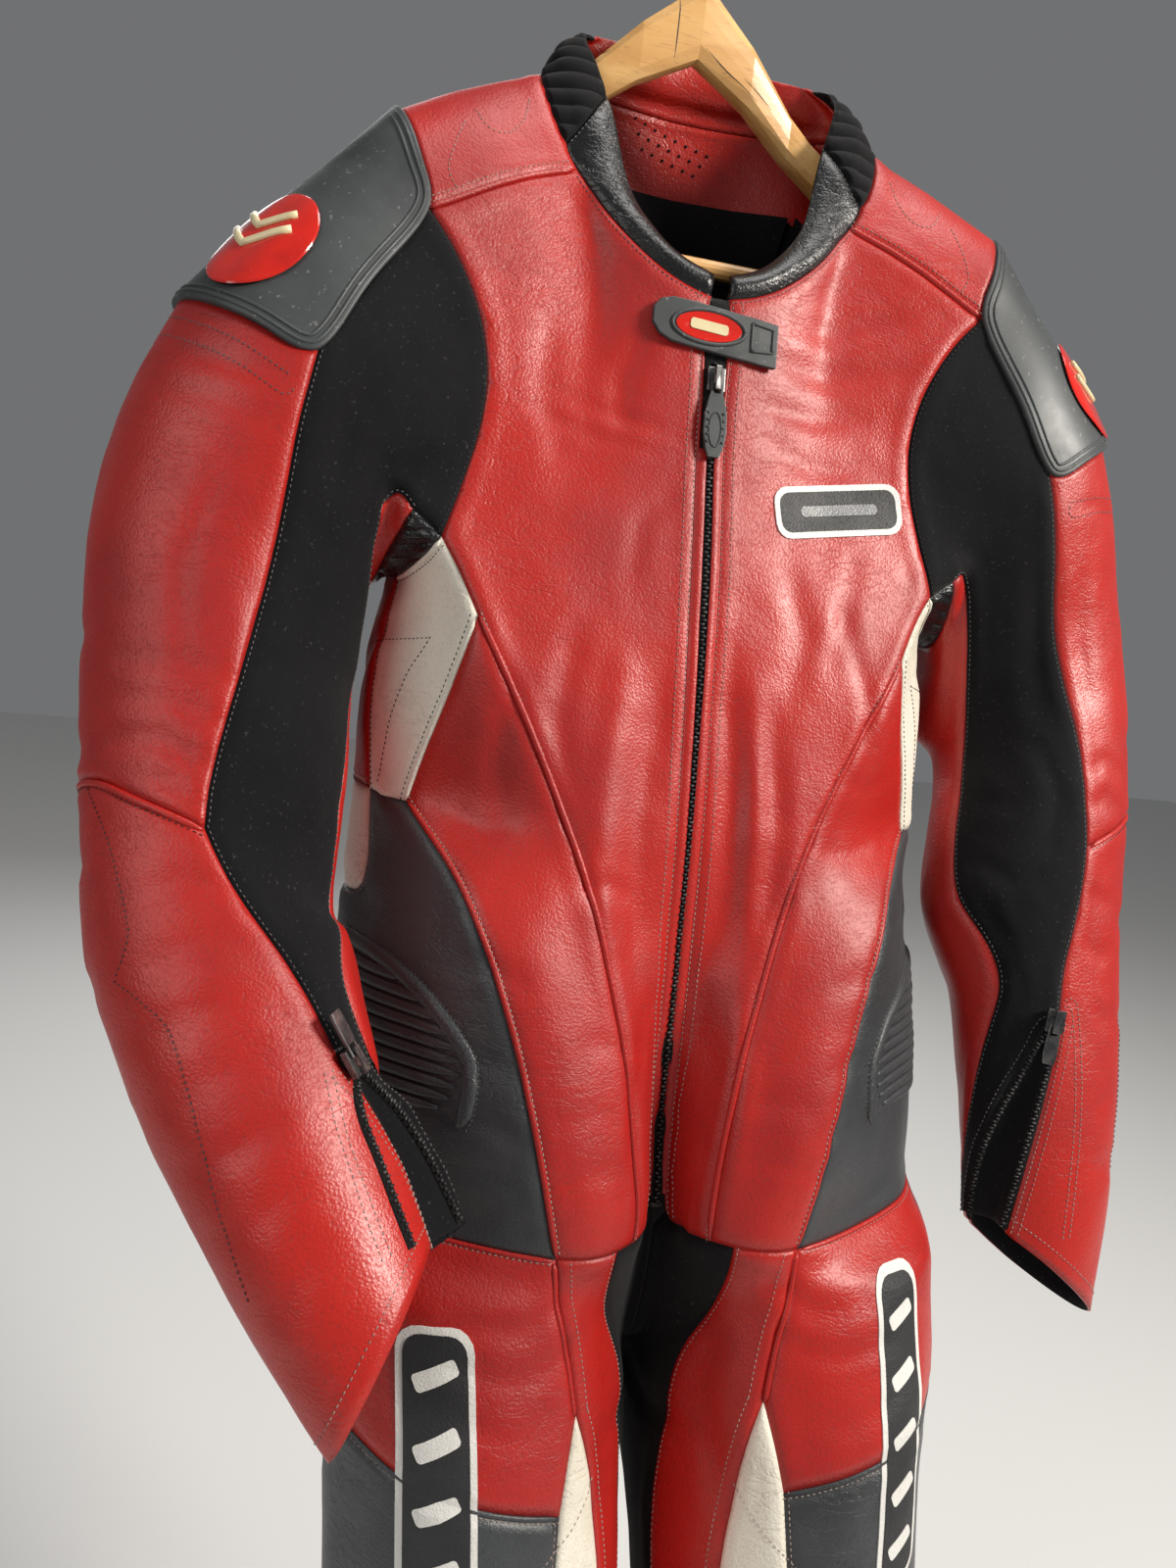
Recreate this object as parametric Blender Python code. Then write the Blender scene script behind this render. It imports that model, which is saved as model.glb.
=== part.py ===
# Motorcycle race suit hanging on a wooden hanger.
# Every cut panel of the suit is one thin wall.  All panels share one garment surface, so that
# neighbouring panels meet edge to edge with a narrow seam gap and turn the same way at the seam.
import bpy
import bmesh
from collections import namedtuple
from math import cos, pi, radians, sin
from mathutils import Vector
from mathutils.bvhtree import BVHTree

# ---- driving sizes (metres) -------------------------------------------------------------
NECK_POINT = Vector((0.016, -0.070, -0.300))   # top of the centre zip, seen from the hook
LEATHER = 0.0022
STRETCH = 0.0018
SEAM_GAP = 0.0003
TIGHTEST_FOLD = 0.15       # walls that meet in a cleft are drawn back up to this ratio
ZIP_HALF = 0.0065          # half of the slot that the centre zip fills
COLLAR_PAD = 0.0060        # how thick the rolled front collar is
COLLAR_ROLL = 0.0050       # how far the collar bulges between its edges
CUP_PROUD = 0.0030         # how far the shoulder cups stand out of the leather
LIFT = 0.0012              # space under a piece that lies on a panel
LINING = 0.0012            # cloth of the neck lining
HALF_SPANS = {"front": 6, "side_front": 3, "side": 3, "back": 5}
ARMHOLE_SPANS = 6
YOKE_SPANS = 3
SHOULDER_SPANS = 8
HOOK_HEIGHT = 0.300        # inside top of the hook above the zip top
HANGER_Y = 0.070           # plane of the hanger behind the zip top
HANGER_X = -0.016

# ---- torso: one row for each level, right half of the body is mirrored --------------------
TorsoRow = namedtuple("TorsoRow", "name z zip_y princess_x princess_y front_x front_y "
                      "side_x side_y side_drop flank_x flank_y back_x back_y middle_y")
TORSO = [
    TorsoRow("armpit", -.174, -.041, .171, -.033, .171, -.033, .188, .014, .026, .195, .060, .165, .105, .150),
    TorsoRow("gusset", -.217, -.051, .145, -.050, .145, -.050, .197, .012, .016, .201, .060, .168, .112, .155),
    TorsoRow("bust", -.262, -.061, .120, -.063, .157, -.044, .201, .008, .008, .206, .056, .168, .114, .156),
    TorsoRow("ribs", -.305, -.069, .098, -.074, .169, -.037, .199, .003, .003, .208, .052, .166, .112, .152),
    TorsoRow("tip", -.340, -.075, .082, -.083, .180, -.029, .196, -.002, .000, .208, .046, .164, .107, .145),
    TorsoRow("waist", -.372, -.079, .069, -.092, .147, -.078, .195, -.010, .000, .212, .040, .162, .100, .135),
    TorsoRow("lumbar", -.410, -.083, .056, -.103, .130, -.108, .196, -.024, .000, .213, .030, .163, .090, .122),
    TorsoRow("belt", -.455, -.088, .043, -.117, .113, -.126, .198, -.044, .000, .215, .018, .166, .078, .108),
    TorsoRow("belly", -.505, -.092, .032, -.129, .098, -.144, .198, -.064, .000, .216, .004, .168, .066, .098),
    TorsoRow("hip", -.550, -.097, .027, -.137, .087, -.153, .196, -.078, .000, .216, -.010, .168, .057, .092),
    TorsoRow("seam", -.587, -.108, .024, -.142, .078, -.157, .194, -.090, .000, .215, -.020, .166, .052, .090),
]

# ---- sleeves: one row for each section, angles from the outer side round by the front ------
SleeveRow = namedtuple("SleeveRow", "name x y z wide deep outer_seam chain inner_seam back_seam "
                       "slant gape drop steps")
SLEEVE_RIGHT = [
    SleeveRow("cup hem", -.258, .028, -.090, .084, .070, 96, 118, 135, 228, -.012, 1.00, .145, 3),
    SleeveRow("biceps", -.288, .010, -.200, .090, .070, 106, 124, 160, 228, -.020, 1.00, .070, 3),
    SleeveRow("above elbow", -.292, -.020, -.285, .084, .066, 99, 115, 152, 228, -.034, 1.00, .022, 2),
    SleeveRow("elbow", -.293, -.058, -.372, .0715, .062, 90, 105, 172, 228, -.042, 1.00, .000, 2),
    SleeveRow("below elbow", -.284, -.084, -.414, .073, .060, 102, 114, 156, 228, -.020, 1.00, .000, 1),
    SleeveRow("wrist seam", -.268, -.112, -.452, .068, .056, 120, 126, 140, 228, -.008, 1.00, .000, 1),
    SleeveRow("zip head", -.248, -.142, -.494, .063, .052, 128, 133, 150, 228, .000, 1.00, .000, 1),
    SleeveRow("forearm", -.232, -.163, -.520, .0585, .049, 147, 176, 188, 228, .012, 1.12, .000, 1),
    SleeveRow("wrist", -.210, -.188, -.554, .054, .043, 167, 190, 200, 230, .024, 1.35, .000, 1),
    SleeveRow("cuff", -.184, -.216, -.592, .046, .036, 180, 197, 206, 232, .032, 1.65, .000, 1),
]
SLEEVE_LEFT = [
    SleeveRow("cup hem", .250, .030, -.088, .077, .066, 96, 118, 135, 228, -.012, 1.00, .145, 3),
    SleeveRow("biceps", .290, .018, -.190, .068, .054, 108, 124, 160, 228, -.020, 1.00, .070, 3),
    SleeveRow("above elbow", .295, .002, -.270, .072, .058, 94, 112, 162, 228, -.034, 1.00, .022, 2),
    SleeveRow("elbow", .290, -.020, -.354, .078, .062, 84, 104, 159, 228, -.042, 1.00, .000, 2),
    SleeveRow("below elbow", .291, -.036, -.398, .074, .058, 89, 106, 143, 228, -.020, 1.00, .000, 1),
    SleeveRow("wrist seam", .292, -.054, -.438, .065, .052, 104, 112, 138, 228, -.008, 1.00, .000, 1),
    SleeveRow("zip head", .293, -.064, -.466, .063, .050, 106, 111, 150, 228, .000, 1.00, .000, 1),
    SleeveRow("forearm", .292, -.084, -.522, .059, .046, 117, 142, 168, 228, .010, 1.03, .000, 1),
    SleeveRow("wrist", .289, -.102, -.579, .055, .042, 131, 166, 186, 230, .020, 1.08, .000, 1),
    SleeveRow("cuff", .283, -.118, -.630, .049, .038, 144, 178, 194, 232, .030, 1.12, .000, 1),
]
CUFF_SINK = 0.80           # how far the open cuff's gusset falls in
SLEEVE_TOP_SEAM = 285      # angle where the top of the sleeve begins behind the shoulder
BODY_CLEAR = 0.2160        # the sleeves lie flat against the flanks, just clear of them
UNDERARM_LEVEL = -0.200
CLEFT_TOP = -0.140         # above this level the sleeve leaves the body freely
CLEFT_END = -0.300
CLEFT_X = 0.170
ARMPIT_REACH = 0.012
ARMPIT_RISE = 0.010

# ---- legs: one row for each section of the left leg, mirrored for the right ----------------
LegRow = namedtuple("LegRow", "name x y z wide deep inseam princess wedge slant drop steps")
LEG = [
    LegRow("crotch patch", .110, -.060, -.610, .108, .108, 130, 110, 110, .000, .116, 1),
    LegRow("patch end", .109, -.068, -.630, .107, .108, 149, 113, 113, -.004, .104, 1),
    LegRow("wedge top", .108, -.083, -.665, .104, .108, 152, 119, 119, -.012, .082, 1),
    LegRow("side seam", .106, -.103, -.710, .100, .106, 164, 127, 112, -.030, .054, 1),
    LegRow("thigh", .104, -.132, -.800, .096, .100, 166, 136, 108, -.010, .014, 1),
    LegRow("mid thigh", .104, -.158, -.900, .091, .094, 166, 139, 100, .000, .000, 1),
    LegRow("knee top", .105, -.176, -1.000, .085, .088, 162, 136, 95, .000, .000, 1),
    LegRow("knee", .105, -.178, -1.080, .079, .084, 160, 132, 92, .000, .000, 1),
    LegRow("calf", .106, -.140, -1.240, .068, .073, 160, 132, 92, .000, .000, 1),
    LegRow("ankle", .108, -.080, -1.410, .047, .052, 160, 132, 92, .000, .000, 1),
]
LEG_OUTER = 32             # angle where the front of the leg turns to its side
LEG_BACK = -42             # angle of the seam behind the side
LEG_SEAT = -118            # angle of the inner back seam
CROTCH = [(.052, -.655), (.012, -.690), (-.050, -.708), (-.100, -.690)]   # y, z from back to front

# ---- seams of the chest, neck and shoulder (left half, from the zip top) -------------------
NECK_FRONT = [(.0065, .000, .000), (.042, .003, .012), (.078, .016, .040), (.098, .031, .070)]
NECK_SIDE = [(.098, .031, .070), (.112, .042, .100), (.120, .060, .128), (.112, .086, .143), (.095, .108, .148)]
NECK_BACK = [(.095, .108, .148), (.052, .128, .151), (.000, .135, .152)]
YOKE_FRONT = [(.098, .031, .070), (.146, .014, .048), (.190, .000, .020)]
YOKE_BACK = [(.095, .108, .148), (.148, .114, .095), (.190, .102, .020)]
SHOULDER = [(.190, .000, .020), (.202, .012, .060), (.213, .046, .086), (.206, .080, .062), (.190, .102, .020)]
ARMHOLE_FRONT = [(.190, .000, .020), (.156, -.004, -.028), (.145, -.009, -.076), (.153, -.020, -.126),
                 (.171, -.033, -.174)]
ARMHOLE_BACK = [(.190, .102, .020), (.160, .118, -.040), (.150, .118, -.100), (.165, .105, -.174)]
ZIP_UPPER = [(0, .000, .000), (0, -.010, -.055), (0, -.023, -.110), (0, -.041, -.174)]
BACK_UPPER = [(0, .135, .152), (0, .148, .060), (0, .150, -.060), (0, .150, -.174)]
CollarRow = namedtuple("CollarRow", "x y z")
COLLAR_TOP = [CollarRow(.0065, .010, .018), CollarRow(.034, .012, .028), CollarRow(.062, .028, .062),
              CollarRow(.070, .042, .098), CollarRow(.086, .062, .146), CollarRow(.090, .082, .168),
              CollarRow(.066, .106, .180), CollarRow(.000, .122, .186)]

# ---- hanger: stations out from its middle ------------------------------------------------
HangerRow = namedtuple("HangerRow", "x y top height thick")
HANGER = [HangerRow(.000, .000, .212, .050, .020), HangerRow(.040, .003, .180, .038, .022),
          HangerRow(.075, .009, .146, .028, .022), HangerRow(.092, .008, .131, .024, .024),
          HangerRow(.120, .004, .111, .024, .028), HangerRow(.1576, -.004, .089, .024, .032),
          HangerRow(.1580, -.004, .0888, .069, .032), HangerRow(.176, -.008, .077, .057, .028)]
BAR_RADIUS = 0.0065
BAR_HEIGHT = 0.034         # height of the bar above the zip top
BAR_HALF = 0.1573          # it butts between the feet of the arms
HOOK_WIRE = 0.0018         # radius of the wire
HOOK_RADIUS = 0.0200       # inside radius of the hook
HOOK_ENDS = (-60, 205)     # the loop runs from the shank over the top to its tip

# ---- neck tab, zip sliders and their pulls -------------------------------------------------
TabColumn = namedtuple("TabColumn", "x half")
TAB = [TabColumn(-.046, .005), TabColumn(-.041, .011), TabColumn(-.033, .014), TabColumn(-.018, .0145),
       TabColumn(-.003, .0145), TabColumn(.012, .0145), TabColumn(.027, .0145), TabColumn(.041, .014)]
TAB_MIDDLE = -.0215        # height of the tab's middle under the zip top
TAB_SLOPE = -.09           # it hangs a little lower on its square end
TAB_THICK = 0.0040
SLIDER_MIDDLE = -.0530     # height of the main slider
SLIDER_X = (-.006, -.002, .002, .006)          # plate edges and, inside them, the bridge
SLIDER_DEPTH = (-.0082, -.0066, -.0040, .0)    # bridge top and underside, plate top and back
SLIDER_UP = (-.008, -.005, .004, .008)
PIVOT_DEPTH = -.0053       # the pull's eye turns between plate and bridge
PIVOT_UP = -.0035
EYE_HALF = 0.0024
EYE_BAR = 0.0007           # half of the bar that passes under the bridge
EYE_END = -.0062           # end of the eye below the pivot
PullRow = namedtuple("PullRow", "up half thick")
MAIN_PULL = [PullRow(.0007, .0042, .0007), PullRow(-.0007, .0042, .0007), PullRow(-.0062, .0044, .0007),
             PullRow(-.0100, .0056, .0012), PullRow(-.0200, .0076, .0014), PullRow(-.0320, .0080, .0014),
             PullRow(-.0420, .0062, .0014), PullRow(-.0480, .0040, .0012)]
CUFF_PULL = [PullRow(.0007, .0040, .0007), PullRow(-.0007, .0040, .0007), PullRow(-.0062, .0042, .0007),
             PullRow(-.0110, .0046, .0010), PullRow(-.0200, .0048, .0010), PullRow(-.0260, .0038, .0010)]
CUFF_LIFT = 0.0030         # the cuff sliders stand on the chain, clear of the leather

# ---- oval insert of each shoulder cup -------------------------------------------------------
INSERT_AT = {"L": (2.3, 21.9), "R": (2.2, 22.5)}   # row and column on the sleeve's grid
INSERT_HALF = (.033, .040)
INSERT_THICK = 0.0020
INSERT_LIFT = 0.0022       # it spans the cup's shallow ridges
INSERT_RINGS = (.0, .2, .4, .6, .8, 1.0)
INSERT_SPANS = 20

MATERIALS = {
    "red_leather": ((0.55, 0.018, 0.012), 0.42, 0.0),
    "grey_leather": ((0.060, 0.060, 0.062), 0.45, 0.0),
    "white_leather": ((0.74, 0.70, 0.60), 0.50, 0.0),
    "black_leather": ((0.014, 0.014, 0.015), 0.38, 0.0),
    "black_stretch": ((0.010, 0.010, 0.011), 0.80, 0.0),
    "grey_rubber": ((0.035, 0.038, 0.040), 0.55, 0.0),
    "red_gloss": ((0.60, 0.015, 0.010), 0.18, 0.0),
    "dark_metal": ((0.10, 0.10, 0.10), 0.35, 1.0),
    "black_zip": ((0.012, 0.012, 0.012), 0.60, 0.0),
    "pine": ((0.72, 0.45, 0.20), 0.45, 0.0),
    "steel": ((0.60, 0.60, 0.60), 0.30, 1.0),
}


def clearScene():
    for old in list(bpy.data.objects):
        bpy.data.objects.remove(old, do_unlink=True)


def material(name):
    found = bpy.data.materials.get(name)
    if found:
        return found
    colour, rough, metal = MATERIALS[name]
    made = bpy.data.materials.new(name)
    made.use_nodes = True
    shader = made.node_tree.nodes["Principled BSDF"]
    shader.inputs["Base Color"].default_value = (*colour, 1.0)
    shader.inputs["Roughness"].default_value = rough
    shader.inputs["Metallic"].default_value = metal
    return made


def addObject(name, points, faces, finish, pivot=None, smooth=False):
    """Make a named object; a moving piece has its origin at its pivot."""
    origin = pivot if pivot else Vector()
    mesh = bpy.data.meshes.new(name)
    mesh.from_pydata([Vector(p) - origin for p in points], [], faces)
    body = bmesh.new()
    body.from_mesh(mesh)
    bmesh.ops.triangulate(body, faces=[f for f in body.faces if len(f.verts) > 3])
    body.to_mesh(mesh)
    body.free()
    if smooth:
        mesh.shade_smooth()
        mesh.set_sharp_from_angle(angle=radians(40))
    made = bpy.data.objects.new(name, mesh)
    bpy.context.collection.objects.link(made)
    made.location = origin + NECK_POINT
    mesh.materials.append(material(finish))
    return made


# ---- curves and grids --------------------------------------------------------------------
def bend(before, start, end, after, t):
    """One step of a Catmull-Rom curve from start to end."""
    a = 2 * start
    b = end - before
    c = 2 * before - 5 * start + 4 * end - after
    d = 3 * start - before - 3 * end + after
    return 0.5 * (a + b * t + c * t * t + d * t ** 3)


def refine(points, steps, after=None):
    """Add points between the given ones along a smooth curve; steps for each stretch."""
    points = [Vector(p) for p in points]
    count = len(points) - 1
    steps = [steps] * count if isinstance(steps, int) else steps
    padded = [2 * points[0] - points[1]] + points + [after or 2 * points[-1] - points[-2]]
    made = []
    for i in range(count):
        closed = (points[i + 1] - points[i]).length < 1e-6
        for k in range(steps[i]):
            made.append(points[i].copy() if closed else bend(*padded[i:i + 4], k / steps[i]))
    return made + [points[-1]]


def resample(points, spans):
    """The same smooth curve with evenly spaced points."""
    fine = refine(points, 12)
    lengths = [0.0]
    for a, b in zip(fine, fine[1:]):
        lengths.append(lengths[-1] + (b - a).length)
    made = []
    for k in range(spans + 1):
        goal = lengths[-1] * k / spans
        i = min(max(j for j, s in enumerate(lengths) if s <= goal + 1e-9), len(fine) - 2)
        run = lengths[i + 1] - lengths[i]
        made.append(fine[i].lerp(fine[i + 1], (goal - lengths[i]) / run))
    return [Vector(points[0])] + made[1:-1] + [Vector(points[-1])]


def fillPatch(first, last, start, end):
    """Rows from first to last; every row runs from the start edge to the end edge."""
    rows = len(start) - 1
    columns = len(first) - 1
    grid = []
    for r in range(rows + 1):
        v = r / rows
        row = []
        for c in range(columns + 1):
            u = c / columns
            across = start[r].lerp(end[r], u)
            along = first[c].lerp(last[c], v)
            corners = first[0].lerp(first[-1], u).lerp(last[0].lerp(last[-1], u), v)
            row.append(across + along - corners)
        grid.append(row)
    return grid


def mirrored(grid):
    return [[Vector((-p.x, p.y, p.z)) for p in row] for row in grid]


def joinSpans(*spans):
    made = list(spans[0])
    for span in spans[1:]:
        made += span[1:]
    return made


# ---- the shared garment surface ----------------------------------------------------------
class Garment:
    """All panels as quads on shared points; every wall takes its direction from here."""

    def __init__(self):
        self.points = []
        self.lookup = {}
        self.faces = {}

    def point(self, p):
        key = (round(p.x, 5), round(p.y, 5), round(p.z, 5))
        if key not in self.lookup:
            self.lookup[key] = len(self.points)
            self.points.append(p.copy())
        return self.lookup[key]

    def add(self, panel, grid, hollow):
        """Quads of one block of a panel, turned away from a point in the hollow."""
        quads = []
        for upper, lower in zip(grid, grid[1:]):
            for c in range(len(upper) - 1):
                corners = (upper[c], lower[c], lower[c + 1], upper[c + 1])
                ids = [self.point(p) for p in corners]
                ids = [v for k, v in enumerate(ids) if v != ids[k - 1]]
                if len(set(ids)) > 2:
                    quads.append(ids)
        outward = 0.0
        for ids in quads:
            a, b, c = (self.points[ids[k]] for k in (0, 1, 2))
            outward += (b - a).cross(c - a).dot(a - Vector(hollow))
        if outward < 0:
            quads = [ids[::-1] for ids in quads]
        self.faces.setdefault(panel, []).extend(quads)

    def normals(self):
        made = [Vector() for _ in self.points]
        for quads in self.faces.values():
            for ids in quads:
                corners = [self.points[v] for v in ids]
                area = Vector()
                for k in range(1, len(corners) - 1):
                    area += (corners[k] - corners[0]).cross(corners[k + 1] - corners[0])
                for v in ids:
                    made[v] += area.normalized()
        return [n.normalized() for n in made]

    def wall(self, panel, normals, thick, proud=0.0):
        """Closed wall of a panel: its points, drawn in from each seam, and a second skin inside."""
        quads = self.faces[panel]
        edges = {}
        for ids in quads:
            for k, v in enumerate(ids):
                edges[(v, ids[(k + 1) % len(ids)])] = ids
        rim = [e for e in edges if (e[1], e[0]) not in edges]
        pull = {}
        for a, b in rim:
            corners = [self.points[v] for v in edges[(a, b)]]
            facing = (corners[1] - corners[0]).cross(corners[-1] - corners[0])
            if facing.length < 1e-12:
                facing = normals[a]
            inward = facing.normalized().cross(self.points[b] - self.points[a]).normalized()
            pull.setdefault(a, []).append(inward)
            pull.setdefault(b, []).append(inward)
        used = sorted({v for ids in quads for v in ids})
        place = {v: k for k, v in enumerate(used)}
        outer = []
        for v in used:
            shift = Vector()
            if v in pull:
                aim = sum(pull[v], Vector()).normalized()
                level = max(TIGHTEST_FOLD, (1 - aim.dot(normals[v]) ** 2) ** 0.5)
                squeeze = max(0.35, sum(aim.dot(d) for d in pull[v]) / len(pull[v]))
                shift = aim * (SEAM_GAP / 2 / squeeze / level)
            outer.append(self.points[v] + shift + normals[v] * proud)
        inner = [p - normals[v] * (thick + proud) for v, p in zip(used, outer)]
        count = len(used)
        faces = [[place[v] for v in ids] for ids in quads]
        faces += [[place[v] + count for v in reversed(ids)] for ids in quads]
        faces += [[place[b], place[a], place[a] + count, place[b] + count] for a, b in rim]
        return outer + inner, faces


# ---- torso -------------------------------------------------------------------------------
def torsoLevel(row):
    """Half ring at one level: lists of points for each stretch between seams."""
    zipper = Vector((ZIP_HALF, row.zip_y, row.z))
    princess = Vector((row.princess_x, row.princess_y, row.z))
    front = Vector((row.front_x, row.front_y, row.z))
    side = Vector((row.side_x, row.side_y, row.z - row.side_drop))
    flank = Vector((row.flank_x, row.flank_y, row.z - 0.8 * row.side_drop))
    back = Vector((row.back_x, row.back_y, row.z))
    middle = Vector((0, row.middle_y, row.z))
    spans = [HALF_SPANS["front"], HALF_SPANS["side_front"], HALF_SPANS["side"], 1, 1, HALF_SPANS["back"]]
    opposite = Vector((-row.back_x, row.back_y, row.z))
    return refine([zipper, princess, front, side, flank, back, middle], spans, opposite)


def torsoColumns():
    """Index of each seam in a torso level."""
    front = HALF_SPANS["front"]
    edge = front + HALF_SPANS["side_front"]
    side = edge + HALF_SPANS["side"]
    return {"zip": 0, "princess": front, "front": edge, "side": side, "back": side + 2,
            "middle": side + 2 + HALF_SPANS["back"]}


def block(grid, rows, columns):
    return [row[columns[0]:columns[1] + 1] for row in grid[rows[0]:rows[1] + 1]]


def chestGrids(levels):
    """Upper front, upper back and yoke of the left half."""
    at = torsoColumns()
    armpit = levels[0]
    yokeFront = resample(YOKE_FRONT, YOKE_SPANS)
    yokeBack = resample(YOKE_BACK, YOKE_SPANS)
    neckFront = [Vector(p) for p in NECK_FRONT]
    neckBack = [Vector(p) for p in NECK_BACK]
    zipEdge = [Vector((ZIP_HALF, p.y, p.z)) for p in resample(ZIP_UPPER, ARMHOLE_SPANS)][::-1]
    armholeFront = resample(ARMHOLE_FRONT, ARMHOLE_SPANS)
    armholeBack = resample(ARMHOLE_BACK, ARMHOLE_SPANS)
    spine = resample(BACK_UPPER, ARMHOLE_SPANS)[::-1]
    top = joinSpans(neckFront, yokeFront)
    front = fillPatch(armpit[:at["princess"] + 1], top, zipEdge, armholeFront[::-1])
    bottomBack = armpit[at["back"]:at["middle"] + 1][::-1]
    topBack = joinSpans(neckBack[::-1], yokeBack)
    back = fillPatch(bottomBack, topBack, spine, armholeBack[::-1])
    neckSide = resample(NECK_SIDE, SHOULDER_SPANS)
    shoulder = resample(SHOULDER, SHOULDER_SPANS)
    yoke = fillPatch(yokeFront, yokeBack, neckSide, shoulder)
    underarm = armpit[at["front"]:at["back"] + 1]
    armhole = joinSpans(armholeFront, underarm, armholeBack[::-1], shoulder[::-1])
    neck = joinSpans(neckFront, neckSide, neckBack)
    return front, back, yoke, armhole, neck


def buildTorso(suit):
    levels = [torsoLevel(row) for row in TORSO]
    names = [row.name for row in TORSO]
    at = torsoColumns()
    tip = names.index("tip")
    lumbar = names.index("lumbar")
    last = len(levels) - 1
    front, back, yoke, armhole, neck = chestGrids(levels)
    chest = (0, 0.060, -0.100)
    belly = (0, 0.020, -0.400)
    for side, letter in ((1, "L"), (-1, "R")):
        turn = (lambda g: g) if side == 1 else mirrored
        suit.add("front_panel_" + letter, turn(front), chest)
        suit.add("front_panel_" + letter, turn(block(levels, (0, last), (0, at["princess"]))), belly)
        suit.add("side_front_" + letter, turn(block(levels, (0, last), (at["princess"], at["front"]))), belly)
        suit.add("underarm_" + letter, turn(block(levels, (0, tip), (at["front"], at["side"]))), belly)
        suit.add("waist_side_" + letter, turn(block(levels, (tip, last), (at["front"], at["side"]))), belly)
        suit.add("waist_side_" + letter, turn(block(levels, (lumbar, last), (at["side"], at["back"]))), belly)
        suit.add("lumbar_band", turn(block(levels, (tip, lumbar), (at["side"], at["middle"]))), belly)
        suit.add("back_panel", turn(block(levels, (0, tip), (at["side"], at["middle"]))), belly)
        suit.add("back_panel", turn(back), chest)
        suit.add("seat_panel", turn(block(levels, (lumbar, last), (at["back"], at["middle"]))), belly)
        suit.add("yoke_" + letter, turn(yoke), (side * 0.150, 0.060, 0.000))
        buildCollar(suit, neck, turn, letter)
    edge = [row[0] for row in front[::-1]] + [row[0] for row in levels[1:]]
    strip = [[Vector((-p.x, p.y, p.z)), Vector((0, p.y + 0.001, p.z)), p] for p in edge]
    suit.add("main_zip", strip, (0, 0.300, -0.300))
    return levels, armhole


def buildCollar(suit, neck, turn, letter):
    """Standing collar: rolled leather in front, ribbed stretch at the sides, leather behind."""
    top = refine([(r.x, r.y, r.z) for r in COLLAR_TOP], [1, 1, 1, 2, 2, 4, 2])
    rows = []
    for v in (0, 1 / 3, 2 / 3, 1):
        row = []
        for k, (low, high) in enumerate(zip(neck, top)):
            ahead = neck[min(k + 1, len(neck) - 1)] - neck[max(k - 1, 0)]
            out = (high - low).cross(ahead).normalized()
            out = out if out.z > 0 or out.y < -0.5 else -out
            p = low.lerp(high, v) + out * COLLAR_ROLL * 4 * v * (1 - v)
            row.append(Vector((0, p.y, p.z)) if low.x == 0 else p)
        rows.append(row)
    for name, start, end in (("collar_front_" + letter, 0, 4), ("collar_rib_" + letter, 4, 9),
                             ("collar_back", 9, len(neck) - 1)):
        suit.add(name, turn(block(rows, (0, 3), (start, end))), (0, 0.070, 0.000))


# ---- sleeves -----------------------------------------------------------------------------
def innerWeight(angle, middle, power):
    return max(0.0, cos(radians(angle - middle))) ** power


def sleeveAngles(row):
    """Angle of every column: outer seam, cuff chain, inner seam, back seam, top seam, round again."""
    stops = [(row.outer_seam, 2), (row.chain, 4), (row.inner_seam, 5), (row.back_seam, 6),
             (SLEEVE_TOP_SEAM, 8), (row.outer_seam + 360, 0)]
    made = []
    for (start, spans), (end, _) in zip(stops, stops[1:]):
        made += [start + (end - start) * k / spans for k in range(spans)]
    return made + [row.outer_seam + 360]


def sleeveRing(rows, index, side):
    row = rows[index]
    centres = [Vector((r.x, r.y, r.z)) for r in rows]
    along = (centres[min(index + 1, len(rows) - 1)] - centres[max(index - 1, 0)]).normalized()
    outward = Vector((side, 0, 0))
    outward = (outward - along * outward.dot(along)).normalized()
    forward = along.cross(outward)
    forward = forward if forward.y < 0 else -forward
    ring = []
    for column, angle in enumerate(sleeveAngles(row)):
        spread = 1.0
        if row.gape > 1 and column == 1:
            spread = CUFF_SINK
        if row.gape > 1 and 2 <= column <= 6:
            spread = row.gape - (row.gape - 1) * 0.3 * (column - 2) / 4
        a = radians(angle)
        p = centres[index] + (outward * row.wide * cos(a) + forward * row.deep * sin(a)) * spread
        p += along * row.slant * cos(a)
        p.z -= row.drop * innerWeight(angle, 200, 1.3)
        low = min(1.0, max(0.0, (CLEFT_TOP - p.z) / (CLEFT_TOP - UNDERARM_LEVEL)))
        nearest = CLEFT_X + (BODY_CLEAR - CLEFT_X) * low
        if row.z > CLEFT_END and abs(p.x) < nearest:
            p.x = side * nearest
        ring.append(p)
    ring[-1] = ring[0].copy()
    return ring


def armpitRing(armhole, cupRing, side):
    """First ring past the armhole: under the arm it runs level, so that arm and body part cleanly."""
    ring = []
    for column, (start, end) in enumerate(zip(armhole, cupRing)):
        under = max(0.0, cos(pi / 2 * (column - 8.5) / 5.5)) if 3 <= column <= 14 else 0.0
        shift = Vector((side * ARMPIT_REACH, 0, ARMPIT_RISE)) * under
        ring.append(start.lerp(end, 0.3) + shift)
    return ring


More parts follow.
